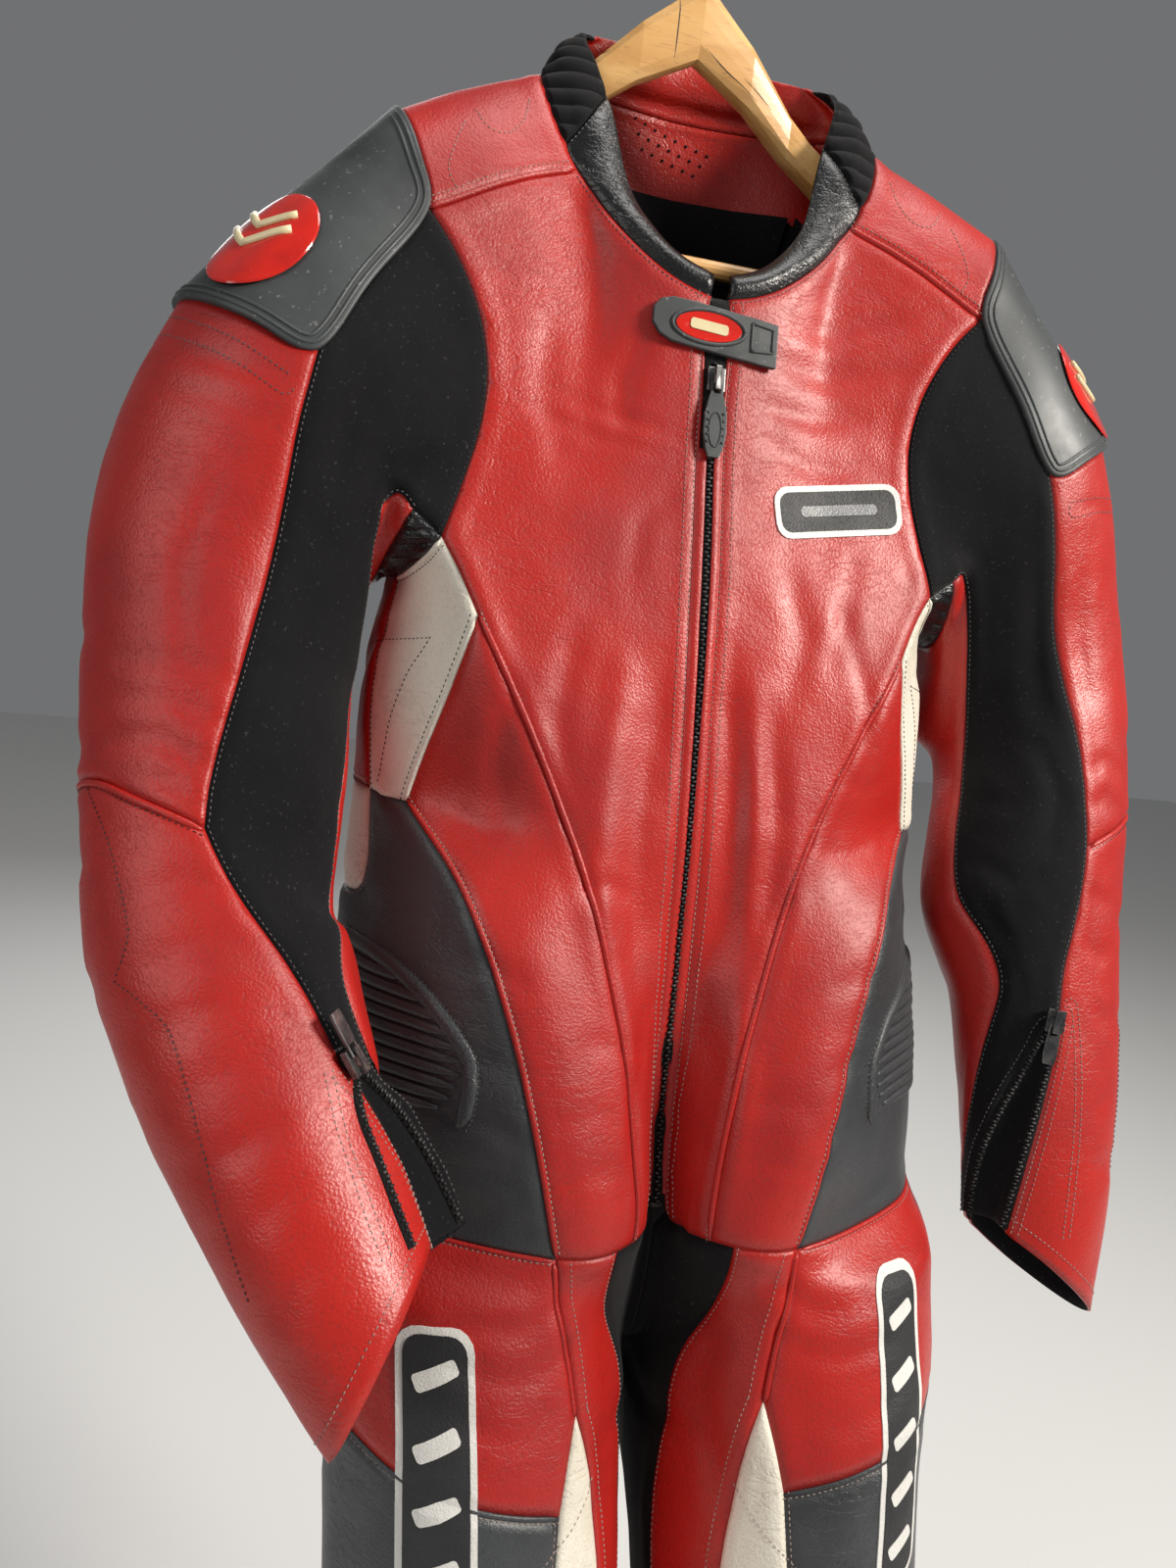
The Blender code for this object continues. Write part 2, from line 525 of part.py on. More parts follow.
def buildSleeve(suit, armhole, rows, side, letter):
    start = armhole if side == 1 else mirrored([armhole])[0]
    rings = [start] + [sleeveRing(rows, k, side) for k in range(len(rows))]
    rings.insert(1, armpitRing(rings[0], rings[1], side))
    steps = [1, rows[0].steps - 1] + [row.steps for row in rows[1:]]
    columns = [refine([ring[c] for ring in rings], steps) for c in range(len(start))]
    grid = [[column[r] for column in columns] for r in range(len(columns[0]))]
    level = {"armhole": 0}
    for k, row in enumerate(rows):
        level[row.name] = sum(steps[:k + 2])
    last = len(grid) - 1
    cup, elbow, head = level["cup hem"], level["elbow"], level["zip head"]
    shoulder = (side * 0.225, 0.035, -0.090)
    blocks = [
        ("sleeve_stretch_", (0, head), (0, 6)), ("sleeve_stretch_", (head, last), (2, 6)),
        ("cuff_gusset_", (head, last), (0, 2)), ("armpit_rib_", (0, 1), (6, 11)),
        ("sleeve_inner_", (1, last), (6, 11)), ("shoulder_cup_", (0, cup), (17, 25)),
        ("upper_sleeve_", (0, cup), (11, 17)), ("upper_sleeve_", (cup, elbow), (11, 25)),
        ("forearm_", (elbow, last), (11, 25)),
    ]
    for name, down, around in blocks:
        for r in range(*down):
            ring = grid[r][:-1] + grid[r + 1][:-1]
            centre = sum(ring, Vector()) / len(ring) if r >= cup else Vector(shoulder)
            suit.add(name + letter, block(grid, (r, r + 1), around), centre)
    return grid, level


# ---- legs --------------------------------------------------------------------------------
def legAngles(row):
    """Angle of every column, from the inseam round by the front, side and seat."""
    stops = [(row.inseam, 2), (row.princess, 2), (row.wedge, 3), (LEG_OUTER, 4), (LEG_BACK, 3),
             (LEG_SEAT, 5), (LEG_SEAT - 0.72 * (LEG_SEAT + 360 - row.inseam), 8), (row.inseam - 360, 0)]
    made = []
    for (start, spans), (end, _) in zip(stops, stops[1:]):
        made += [start + (end - start) * k / spans for k in range(spans)]
    return made + [row.inseam - 360]


def legRing(row):
    ring = []
    for angle in legAngles(row):
        a = radians(angle)
        z = row.z - row.slant * cos(a) - row.drop * innerWeight(angle, 205, 1.5)
        ring.append(Vector((row.x + row.wide * cos(a), row.y - row.deep * sin(a), z)))
    ring[-1] = ring[0].copy()
    return ring


def legTop(levels):
    """The hip seam and the crotch line, in the order of the leg's columns."""
    at = torsoColumns()
    hip = levels[-1]
    princess = hip[at["front"]]
    crotch = refine([hip[-1]] + [(0, y, z) for y, z in CROTCH] + [(0, TORSO[-1].zip_y + 0.001, TORSO[-1].z)], 1)
    inseam = at["princess"] + 1
    return (hip[inseam:at["front"]] + [princess, princess] + hip[at["front"]:]
            + crotch[1:] + hip[:inseam + 1])


def buildLeg(suit, levels, side, letter):
    rings = [legTop(levels)] + [legRing(row) for row in LEG]
    steps = [row.steps for row in LEG]
    columns = [refine([ring[c] for ring in rings], steps) for c in range(len(rings[0]))]
    grid = [[column[r] for column in columns] for r in range(len(columns[0]))]
    level = {}
    for k, row in enumerate(LEG):
        level[row.name] = sum(steps[:k + 1])
    seam, knee, last = level["side seam"], level["knee"], len(grid) - 1
    blocks = [
        ("thigh_inner_", (0, knee), (0, 2)), ("thigh_wedge_", (0, knee), (2, 4)),
        ("thigh_front_", (0, seam), (4, 11)), ("thigh_side_", (seam, knee), (4, 11)),
        ("thigh_back_", (0, knee), (11, 14)), ("inner_leg_", (0, knee), (14, 27)),
        ("lower_leg_", (knee, last), (0, 27)),
    ]
    if side == -1:
        grid = mirrored(grid)
    for name, down, around in blocks:
        for r in range(*down):
            ring = grid[r + 1][:-1]
            centre = sum(ring, Vector()) / len(ring)
            suit.add(name + letter, block(grid, (r, r + 1), around), centre)
    return grid


# ---- hard pieces -------------------------------------------------------------------------
def closedLoft(rings):
    """One closed body through rings of points, with a flat cap on each end."""
    count = len(rings[0])
    points = [p for ring in rings for p in ring]
    faces = []
    for r in range(len(rings) - 1):
        for c in range(count):
            a = r * count + c
            b = r * count + (c + 1) % count
            faces.append([a, b, b + count, a + count])
    faces.append(list(range(count))[::-1])
    faces.append(list(range(len(points) - count, len(points))))
    volume = 0.0
    for ids in faces:
        for k in range(1, len(ids) - 1):
            volume += points[ids[0]].dot(points[ids[k]].cross(points[ids[k + 1]]))
    if volume < 0:
        faces = [ids[::-1] for ids in faces]
    return points, faces


def cellSolid(cells, corner):
    """Closed skin of a set of lattice cells; corner places a lattice corner in space."""
    steps = (Vector((1, 0, 0)), Vector((0, 1, 0)), Vector((0, 0, 1)))
    lookup = {}
    faces = []
    for cell in sorted(cells):
        for axis in range(3):
            across, along = steps[(axis + 1) % 3], steps[(axis + 2) % 3]
            for ahead in (True, False):
                beside = Vector(cell) + (steps[axis] if ahead else -steps[axis])
                if tuple(int(n) for n in beside) in cells:
                    continue
                base = Vector(cell) + (steps[axis] if ahead else Vector())
                ids = []
                for spot in (base, base + across, base + across + along, base + along):
                    key = tuple(int(n) for n in spot)
                    ids.append(lookup.setdefault(key, len(lookup)))
                faces.append(ids if ahead else ids[::-1])
    return [corner(*key) for key in lookup], faces


def ringAcross(x, y, top, height, thick):
    """Cross-section of a wooden arm with rounded corners."""
    ring = []
    for k in range(16):
        a = 2 * pi * (k + 0.5) / 16
        flat = max(abs(cos(a)), abs(sin(a))) ** 0.7
        ring.append(Vector((x, y + thick / 2 * cos(a) / flat, top - height / 2 + height / 2 * sin(a) / flat)))
    return ring


def buildHanger():
    centre = Vector((HANGER_X, HANGER_Y, 0))
    stations = [r._replace(x=-r.x) for r in HANGER[:0:-1]] + HANGER
    rings = [[p + centre for p in ringAcross(*row)] for row in stations]
    addObject("hanger", *closedLoft(rings), "pine", smooth=True)
    bar = []
    for x in (-BAR_HALF, BAR_HALF):
        middle = centre + Vector((x, HANGER[-2].y, BAR_HEIGHT))
        turn = [2 * pi * k / 14 for k in range(14)]
        bar.append([middle + Vector((0, cos(a), sin(a))) * BAR_RADIUS for a in turn])
    addObject("hanger_bar", *closedLoft(bar), "pine", smooth=True)
    loop = HOOK_RADIUS + HOOK_WIRE
    heart = Vector((0, 0, HOOK_HEIGHT - HOOK_RADIUS))
    first, final = HOOK_ENDS
    angles = [radians(first + (final - first) * k / 18) for k in range(19)]
    path = [heart + Vector((cos(a), 0, sin(a))) * loop for a in angles]
    foot = Vector((0, 0, HANGER[0].top + SEAM_GAP))
    neck = refine([foot, foot + Vector((0, 0, .024)), path[0] - Vector((.006, 0, .006)), path[0]], [1, 3, 3])
    path = neck[:-1] + path
    rings = []
    for k, p in enumerate(path):
        ahead = (path[min(k + 1, len(path) - 1)] - path[max(k - 1, 0)]).normalized()
        if k == 0:
            ahead = Vector((0, 0, 1))
        side = Vector((0, 1, 0)).cross(ahead)
        turn = [2 * pi * n / 10 for n in range(10)]
        rings.append([p + centre + (side * cos(a) + Vector((0, sin(a), 0))) * HOOK_WIRE for a in turn])
    addObject("hanger_hook", *closedLoft(rings), "steel", smooth=True)


def outerTree(suit, normals, panels, thick, proud):
    """Search tree of some walls, so that other pieces can lie on them."""
    points = []
    faces = []
    for panel in panels:
        more, quads = suit.wall(panel, normals, thick, proud)
        faces += [[v + len(points) for v in ids] for ids in quads]
        points += more
    return BVHTree.FromPolygons(points, faces)


def buildNeck(suit, normals, back):
    """Lining inside the back of the neck and the tab that closes over the zip top."""
    inside = Garment()
    for turn in ((lambda g: g), mirrored):
        rows = [[p - normals[suit.point(p)] * (LEATHER + LIFT) for p in row[:3]] for row in back[-3:-1]]
        inside.add("neck_lining", turn(rows), (0, 0, 0))
    points, faces = inside.wall("neck_lining", inside.normals(), LINING)
    addObject("neck_lining", points, faces, "black_stretch")
    chest = outerTree(suit, normals, ["front_panel_L", "front_panel_R", "main_zip"], LEATHER, 0.0)
    grid = []
    for step in (1.0, 0.34, -0.34, -1.0):
        row = []
        for column in TAB:
            z = TAB_MIDDLE + TAB_SLOPE * column.x + column.half * step
            depths = []
            for shift in (-.010, .0, .010):
                hit = chest.ray_cast(Vector((column.x + shift, -.3, z)), Vector((0, 1, 0)))[0]
                depths += [hit.y] if hit else []
            row.append(Vector((column.x, min(depths) - LIFT - TAB_THICK, z)))
        grid.append(row)
    tab = Garment()
    tab.add("neck_tab", grid, (0, .1, 0))
    addObject("neck_tab", *tab.wall("neck_tab", tab.normals(), TAB_THICK), "grey_rubber")


def buildZipPull(name, rows, origin, across, up, finish):
    """A slider with a closed bridge, and the pull whose eye turns under the bridge."""
    inward = up.cross(across)

    def slider(i, j, k):
        return origin + across * SLIDER_X[i] + inward * SLIDER_DEPTH[j] + up * SLIDER_UP[k]

    cells = {(i, 2, k) for i in range(3) for k in range(3)}
    cells |= {(1, 1, 0), (1, 1, 2), (1, 0, 0), (1, 0, 1), (1, 0, 2)}
    addObject(name + "_slider", *cellSolid(cells, slider), "dark_metal")
    pivot = origin + inward * PIVOT_DEPTH + up * PIVOT_UP

    def pull(i, j, k):
        row = rows[len(rows) - 1 - k]
        x = (-row.half, -EYE_HALF, EYE_HALF, row.half)[i]
        return pivot + across * x + inward * row.thick * (2 * j - 1) + up * row.up

    last = len(rows) - 1
    cells = {(i, 0, k) for i in range(3) for k in range(last)} - {(1, 0, last - 2)}
    addObject(name + "_pull", *cellSolid(cells, pull), finish, pivot=pivot)
    return pivot


def buildZipPulls(suit, normals, sleeves):
    pivots = {}
    slope = refine(ZIP_UPPER, 8)
    upper, lower = slope[7], slope[9]
    up = (upper - lower).normalized()
    origin = upper.lerp(lower, (upper.z - SLIDER_MIDDLE) / (upper.z - lower.z)) - Vector((0, SEAM_GAP, 0))
    across = Vector((1, 0, 0))
    pivots["main"] = (buildZipPull("main", MAIN_PULL, origin, across, up, "grey_rubber"), across)
    for letter, flip in (("L", 1), ("R", -1)):
        grid, level = sleeves[letter]
        head = level["zip head"]
        middle = grid[head][1]
        out = normals[suit.point(middle)]
        up = grid[head - 1][1] - grid[head + 1][1]
        up = (up - out * up.dot(out)).normalized() * flip
        across = up.cross(out)
        name = "cuff_" + letter
        origin = middle + out * CUFF_LIFT
        pivots[name] = (buildZipPull(name, CUFF_PULL, origin, across, up, "dark_metal"), across)
    return pivots


def buildInserts(suit, normals, sleeves):
    """Oval that lies on each shoulder cup."""
    for letter in ("L", "R"):
        row, column = INSERT_AT[letter]
        grid = sleeves[letter][0]
        r, c = int(row), int(column)
        upper = grid[r][c].lerp(grid[r][c + 1], column - c)
        lower = grid[r + 1][c].lerp(grid[r + 1][c + 1], column - c)
        middle = upper.lerp(lower, row - r)
        out = normals[suit.point(grid[r][c])] + normals[suit.point(grid[r + 1][c + 1])]
        out.normalize()
        up = (upper - lower - out * (upper - lower).dot(out)).normalized()
        across = up.cross(out)
        cup = "shoulder_cup_" + letter
        tree = outerTree(suit, normals, [cup], LEATHER, CUP_PROUD)
        rings = []
        for share in INSERT_RINGS:
            ring = []
            for k in range(INSERT_SPANS + 1):
                a = 2 * pi * (k % INSERT_SPANS) / INSERT_SPANS
                aim = across * INSERT_HALF[0] * cos(a) + up * INSERT_HALF[1] * sin(a)
                hit = tree.ray_cast(middle + aim * share + out * .05, -out)[0]
                ring.append(hit + out * (INSERT_LIFT + INSERT_THICK))
            rings.append(ring)
        oval = Garment()
        oval.add("insert", rings, middle - out * .1)
        points, faces = oval.wall("insert", oval.normals(), INSERT_THICK)
        addObject("shoulder_cup_insert_" + letter, points, faces, "red_gloss")


FINISH = {
    "front_panel": "red_leather", "side_front": "red_leather", "underarm": "white_leather",
    "waist_side": "grey_leather", "lumbar_band": "white_leather", "back_panel": "red_leather",
    "seat_panel": "red_leather", "yoke": "red_leather", "main_zip": "black_zip",
    "collar_front": "black_leather", "collar_rib": "black_stretch", "collar_back": "red_leather",
    "sleeve_stretch": "black_stretch", "cuff_gusset": "black_stretch", "armpit_rib": "black_leather",
    "sleeve_inner": "red_leather", "shoulder_cup": "grey_rubber", "upper_sleeve": "red_leather",
    "forearm": "red_leather", "thigh_inner": "red_leather", "thigh_wedge": "white_leather",
    "thigh_front": "red_leather", "thigh_side": "grey_leather", "thigh_back": "red_leather",
    "inner_leg": "black_stretch", "lower_leg": "red_leather",
}


def buildSuit():
    suit = Garment()
    levels, armhole = buildTorso(suit)
    sleeves = {}
    for side, letter, rows in ((1, "L", SLEEVE_LEFT), (-1, "R", SLEEVE_RIGHT)):
        sleeves[letter] = buildSleeve(suit, armhole, rows, side, letter)
        buildLeg(suit, levels, side, letter)
    normals = suit.normals()
    for panel in suit.faces:
        base = panel[:-2] if panel[-2:] in ("_L", "_R") else panel
        finish = FINISH[base]
        thick = STRETCH if finish in ("black_stretch", "black_zip") else LEATHER
        proud = 0.0
        if base == "collar_front":
            thick = COLLAR_PAD
        if base == "shoulder_cup":
            proud = CUP_PROUD
        points, faces = suit.wall(panel, normals, thick, proud)
        addObject(panel, points, faces, finish)
    buildHanger()
    buildNeck(suit, normals, chestGrids(levels)[1])
    buildInserts(suit, normals, sleeves)
    pivots = buildZipPulls(suit, normals, sleeves)
    return suit, normals, levels, sleeves, pivots


clearScene()
buildSuit()
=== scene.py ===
import math
import bmesh
import bpy
import numpy as np
from mathutils import Matrix, Vector, noise
from mathutils.bvhtree import BVHTree
from mathutils.geometry import delaunay_2d_cdt
from mathutils.kdtree import KDTree


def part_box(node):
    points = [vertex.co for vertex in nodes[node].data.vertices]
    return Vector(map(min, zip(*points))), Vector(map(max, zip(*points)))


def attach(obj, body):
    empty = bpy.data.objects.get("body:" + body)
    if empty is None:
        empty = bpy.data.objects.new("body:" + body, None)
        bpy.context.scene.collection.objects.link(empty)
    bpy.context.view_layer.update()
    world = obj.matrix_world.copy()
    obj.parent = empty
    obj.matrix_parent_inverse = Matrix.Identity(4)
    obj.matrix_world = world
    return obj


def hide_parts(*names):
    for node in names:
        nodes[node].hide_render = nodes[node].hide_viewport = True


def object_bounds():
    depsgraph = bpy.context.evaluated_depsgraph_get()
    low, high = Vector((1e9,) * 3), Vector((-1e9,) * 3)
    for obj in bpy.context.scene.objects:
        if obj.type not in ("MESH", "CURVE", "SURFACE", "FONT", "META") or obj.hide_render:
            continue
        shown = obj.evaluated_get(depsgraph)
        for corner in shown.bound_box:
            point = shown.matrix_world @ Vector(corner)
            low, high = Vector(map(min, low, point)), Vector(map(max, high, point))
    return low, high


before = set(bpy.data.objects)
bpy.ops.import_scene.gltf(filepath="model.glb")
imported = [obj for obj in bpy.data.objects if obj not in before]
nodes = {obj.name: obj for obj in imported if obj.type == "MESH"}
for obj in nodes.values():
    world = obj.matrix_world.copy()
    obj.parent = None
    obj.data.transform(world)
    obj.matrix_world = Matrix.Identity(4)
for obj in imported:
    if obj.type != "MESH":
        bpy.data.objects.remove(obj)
cadLow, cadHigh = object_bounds()

# the top of the centre zip: every place below is measured from it
zipTop = Vector((0.016, -0.070, -0.300))


def place(x, y, z):
    return Vector((x, y, z)) + zipTop


# camera, floor and lights
camera = {
    "at": (-0.2388, -0.8088, -0.4885), "lens": 25.875, "sensor": 36.0,
    "right": (0.9625, -0.2450, 0.1165), "up": (-0.0670, 0.2016, 0.9772), "back": (-0.2629, -0.9483, 0.1776),
}
light = {
    "world": (0.86, 0.87, 0.89), "worldStrength": 0.19,
    "areas": [("key light", (2.0, -1.6, 0.9), 0.7, 108.0, (1.0, 0.94, 0.86)),
              ("fill light", (-2.1, -1.5, 0.4), 1.5, 19.0, (1.0, 0.97, 0.93)),
              ("top light", (0.5, -0.2, 1.6), 1.0, 20.0, (1.0, 0.98, 0.95)),
              ("back light", (0.2, 2.4, 0.6), 2.2, 34.0, (1.0, 1.0, 1.0))],
    "aim": (0.0, -0.10, -0.75),
}


def makeCamera():
    made = bpy.data.objects.new("camera", bpy.data.cameras.new("camera"))
    bpy.context.scene.collection.objects.link(made)
    axes = Matrix((camera["right"], camera["up"], camera["back"])).transposed()
    made.matrix_world = Matrix.Translation(camera["at"]) @ axes.to_4x4()
    made.data.lens = camera["lens"]
    made.data.sensor_width = camera["sensor"]
    bpy.context.scene.camera = made


def makeStage():
    bpy.ops.object.select_all(action="DESELECT")
    bpy.ops.mesh.primitive_plane_add(size=14, location=(0, 0, cadLow.z - 0.04))
    floor = bpy.context.object
    floor.name = "floor"
    paint = bpy.data.materials.new("pale floor")
    paint.use_nodes = True
    shader = paint.node_tree.nodes["Principled BSDF"]
    shader.inputs["Base Color"].default_value = (0.72, 0.72, 0.71, 1)
    shader.inputs["Roughness"].default_value = 0.7
    floor.data.materials.append(paint)
    world = bpy.data.worlds.new("studio")
    world.use_nodes = True
    world.node_tree.nodes["Background"].inputs["Color"].default_value = (*light["world"], 1)
    world.node_tree.nodes["Background"].inputs["Strength"].default_value = light["worldStrength"]
    bpy.context.scene.world = world
    bpy.context.scene.view_settings.view_transform = "Standard"
    for name, at, size, power, colour in light["areas"]:
        lamp = bpy.data.lights.new(name, "AREA")
        lamp.size = size
        lamp.energy = power
        lamp.color = colour
        made = bpy.data.objects.new(name, lamp)
        made.location = at
        made.rotation_euler = (Vector(at) - Vector(light["aim"])).to_track_quat("Z", "Y").to_euler()
        bpy.context.scene.collection.objects.link(made)


makeCamera()
makeStage()
print("camera, floor and lights are in place")


# the suit's surface: the skins of all panels welded, smoothed and creased as one
suit = {
    "levels": 3, "weld": 0.0013,
    "thin": 0.0018, "leather": 0.0022, "pad": 0.0060, "cup": 0.0052,
    "lines": {   # middle of each tube, to tell a wall's outer skin from its inner one
        "torso": [(0, .060, .10), (0, .060, -.10), (0, .030, -.30), (0, -.010, -.50), (0, -.050, -.62)],
        "L": [(.150, .060, .000), (.205, .045, -.060), (.252, .030, -.110), (.290, .018, -.190),
              (.292, -.010, -.330), (.292, -.055, -.440), (.292, -.084, -.522), (.283, -.118, -.630)],
        "R": [(-.150, .060, .000), (-.205, .045, -.060), (-.258, .028, -.110), (-.288, .010, -.200),
              (-.293, -.045, -.350), (-.268, -.112, -.452), (-.232, -.163, -.520), (-.184, -.216, -.592)],
        "leg": [(.110, -.050, -.600), (.108, -.083, -.665), (.104, -.132, -.80), (.104, -.158, -.90),
                (.105, -.178, -1.08), (.106, -.140, -1.24), (.108, -.080, -1.41)],
    },
}
thinPanels = ("collar_rib", "sleeve_stretch", "cuff_gusset", "inner_leg", "main_zip")
armPanels = ("sleeve_stretch", "cuff_gusset", "armpit_rib", "sleeve_inner", "upper_sleeve", "forearm")
legPanels = ("thigh_inner", "thigh_wedge", "thigh_front", "thigh_side", "thigh_back", "inner_leg", "lower_leg")
torsoPanels = ("front_panel", "side_front", "underarm", "waist_side", "lumbar_band", "back_panel",
               "seat_panel", "yoke", "main_zip", "collar_front", "collar_rib", "collar_back")


def plainName(name):
    return name[:-2] if name[-2:] in ("_L", "_R") else name


panels = sorted(n for n in nodes if plainName(n) in armPanels + legPanels + torsoPanels)


def wallThickness(name):
    plain = plainName(name)
    if plain in ("collar_front", "shoulder_cup"):
        return suit["pad"] if plain == "collar_front" else suit["cup"]
    return suit["thin"] if plain in thinPanels else suit["leather"]


def hollowLine(name):
    plain = plainName(name)
    if plain in armPanels or plain in ("yoke", "shoulder_cup"):
        line = suit["lines"][name[-1]]
    elif plain in legPanels:
        side = 1 if name.endswith("L") else -1
        line = [(side * x, y, z) for x, y, z in suit["lines"]["leg"]]
    else:
        line = suit["lines"]["torso"]
    return [place(*p) for p in line]


def nearestOnLine(p, line):
    best = None
    for a, b in zip(line, line[1:]):
        t = max(0.0, min(1.0, (p - a).dot(b - a) / (b - a).length_squared))
        spot = a.lerp(b, t)
        if best is None or (p - spot).length < (p - best).length:
            best = spot
    return best


# outer skin of a CAD wall as quads
def outerSkin(name):
    body = bmesh.new()
    body.from_mesh(nodes[name].data)
    bmesh.ops.remove_doubles(body, verts=body.verts, dist=1e-5)
    thick = wallThickness(name)
    rim = [f for f in body.faces if any(abs(e.calc_length() - thick) < 1.2e-5 for e in f.edges)]
    bmesh.ops.delete(body, geom=rim, context="FACES")
    line = hollowLine(name)
    left = set(body.faces)
    skins = []
    while left:
        seed = left.pop()
        found = [seed]
        stack = [seed]
        while stack:
            for e in stack.pop().edges:
                for f in e.link_faces:
                    if f in left:
                        left.discard(f)
                        found.append(f)
                        stack.append(f)
        score = 0.0
        for f in found:
            middle = f.calc_center_median()
            score += f.calc_area() * f.normal.dot(middle - nearestOnLine(middle, line))
        skins.append((score, found))
    skins.sort(key=lambda s: s[0])
    for score, found in skins[:-1]:
        bmesh.ops.delete(body, geom=found, context="FACES")
    if len(skins) != 2:
        print("skins of", name, [(round(s, 5), len(f)) for s, f in skins])
    bmesh.ops.join_triangles(body, faces=body.faces, angle_face_threshold=math.pi,
                             angle_shape_threshold=math.pi)
    return body


# moves control corners out so that the smoothed surface still passes through them
def stayOnCorners(body, levels):
    probe = bpy.data.meshes.new("probe")
    body.to_mesh(probe)
    held = bpy.data.objects.new("probe", probe)
    bpy.context.scene.collection.objects.link(held)
    smooth = held.modifiers.new("smooth", "SUBSURF")
    smooth.levels = levels
    seen = held.evaluated_get(bpy.context.evaluated_depsgraph_get()).data
    spots = [seen.vertices[i].co.copy() for i in range(len(probe.vertices))]
    for v, spot in zip(body.verts, spots):
        v.co += (v.co - spot) * 0.9
    bpy.data.objects.remove(held)
    bpy.data.meshes.remove(probe)


def applyAll(obj):
    bpy.ops.object.select_all(action="DESELECT")
    obj.select_set(True)
    bpy.context.view_layer.objects.active = obj
    for m in list(obj.modifiers):
        bpy.ops.object.modifier_apply(modifier=m.name)


def addObject(name, mesh):
    made = bpy.data.objects.new(name, mesh)
    bpy.context.scene.collection.objects.link(made)
    return made


def makeGarment():
    whole = bmesh.new()
    for index, name in enumerate(panels):
        skin = outerSkin(name)
        for f in skin.faces:
            f.material_index = index
        part = bpy.data.meshes.new("part")
        skin.to_mesh(part)
        skin.free()
        whole.from_mesh(part)
        bpy.data.meshes.remove(part)
    bmesh.ops.remove_doubles(whole, verts=whole.verts, dist=suit["weld"])
    stayOnCorners(whole, 2)
    mesh = bpy.data.meshes.new("garment")
    whole.to_mesh(mesh)
    whole.free()
    made = addObject("garment", mesh)
    for name in panels:
        mesh.materials.append(bpy.data.materials.new("cut " + name))
    smooth = made.modifiers.new("smooth", "SUBSURF")
    smooth.levels = suit["levels"]
    applyAll(made)
    return made


garment = makeGarment()
cloth = garment.data
print("garment surface:", len(cloth.polygons), "faces")


def readSurface():
    count = len(cloth.vertices)
    spots = np.empty(count * 3)
    cloth.vertices.foreach_get("co", spots)
    facing = np.empty(count * 3)
    cloth.vertex_normals.foreach_get("vector", facing)
    return spots.reshape(-1, 3), facing.reshape(-1, 3)


def writeSurface(spots):
    cloth.vertices.foreach_set("co", spots.ravel())
    cloth.update()


facePanel = np.empty(len(cloth.polygons), dtype=np.int32)
cloth.polygons.foreach_get("material_index", facePanel)
cornerVertex = np.empty(len(cloth.loops), dtype=np.int32)
cloth.loops.foreach_get("vertex_index", cornerVertex)
cornerVertex = cornerVertex.reshape(-1, 4)
vertexPanels = [set() for v in cloth.vertices]
for corners, panel in zip(cornerVertex.tolist(), facePanel.tolist()):
    for c in corners:
        vertexPanels[c].add(panel)


# mask of the vertices whose panels all pass the test
def family(test):
    good = {i for i, name in enumerate(panels) if test(name)}
    return np.array([bool(s & good) for s in vertexPanels])


onArm = {side: family(lambda n: plainName(n) in armPanels and n.endswith(side)) for side in "LR"}
onLeg = {side: family(lambda n: plainName(n) in legPanels and n.endswith(side)) for side in "LR"}
onTorso = family(lambda n: plainName(n) in torsoPanels)
areas = {"armL": onArm["L"], "armR": onArm["R"], "legL": onLeg["L"], "legR": onLeg["R"], "torso": onTorso,
         "legs": onLeg["L"] | onLeg["R"], "suit": onTorso | onLeg["L"] | onLeg["R"]}
views = {   # across, up and towards the viewer
    "front": ((1, 0, 0), (0, 0, 1), (0, -1, 0)),
    "back": ((1, 0, 0), (0, 0, 1), (0, 1, 0)),
    "left": ((0, 1, 0), (0, 0, 1), (1, 0, 0)),
    "right": ((0, 1, 0), (0, 0, 1), (-1, 0, 0)),
}


def softStep(x):
    x = np.clip(x, 0.0, 1.0)
    return x * x * (3 - 2 * x)


# height of a soft trough along a flat line, with a low ridge on each side, fading at its ends
def creaseDepth(flat, line, width):
    line = np.array(line, dtype=float)
    steps = np.linalg.norm(np.diff(line, axis=0), axis=1)
    run = np.concatenate(([0.0], np.cumsum(steps)))
    best = np.full(len(flat), 1e9)
    along = np.zeros(len(flat))
    for k in range(len(steps)):
        a, b = line[k], line[k + 1]
        t = np.clip(((flat - a) @ (b - a)) / max(steps[k] ** 2, 1e-12), 0, 1)
        d = np.linalg.norm(flat - (a + t[:, None] * (b - a)), axis=1)
        closer = d < best
        best = np.where(closer, d, best)
        along = np.where(closer, (run[k] + t * steps[k]) / run[-1], along)
    fade = np.sqrt(np.clip(np.sin(np.pi * along), 0, 1)) * 0.85 + 0.15
    q = (best / width) ** 2
    return -(1 - 0.9 * q) * np.exp(-q) * fade


# each row: area, view, depth in mm, half width in mm, then points (across, up) in mm from the zip top
def addCreases(rows):
    spots, facing = readSurface()
    local = (spots - np.array(zipTop)) * 1000
    rise = np.zeros(len(spots))
    for where, view, depth, width, *line in rows:
        across, up, toward = (np.array(a, dtype=float) for a in views[view])
        flat = np.stack([local @ across, local @ up], axis=1)
        seen = areas[where] & (facing @ toward > 0.05)
        low = np.min(line, axis=0) - 3 * width
        high = np.max(line, axis=0) + 3 * width
        seen &= np.all((flat > low) & (flat < high), axis=1)
        picked = np.nonzero(seen)[0]
        if len(picked) == 0:
            print("no surface under crease", where, view, line[0])
            continue
        weight = softStep((facing[picked] @ toward - 0.05) / 0.45)
        rise[picked] += depth * 0.001 * weight * creaseDepth(flat[picked], line, width)
    writeSurface(spots + facing * rise[:, None])


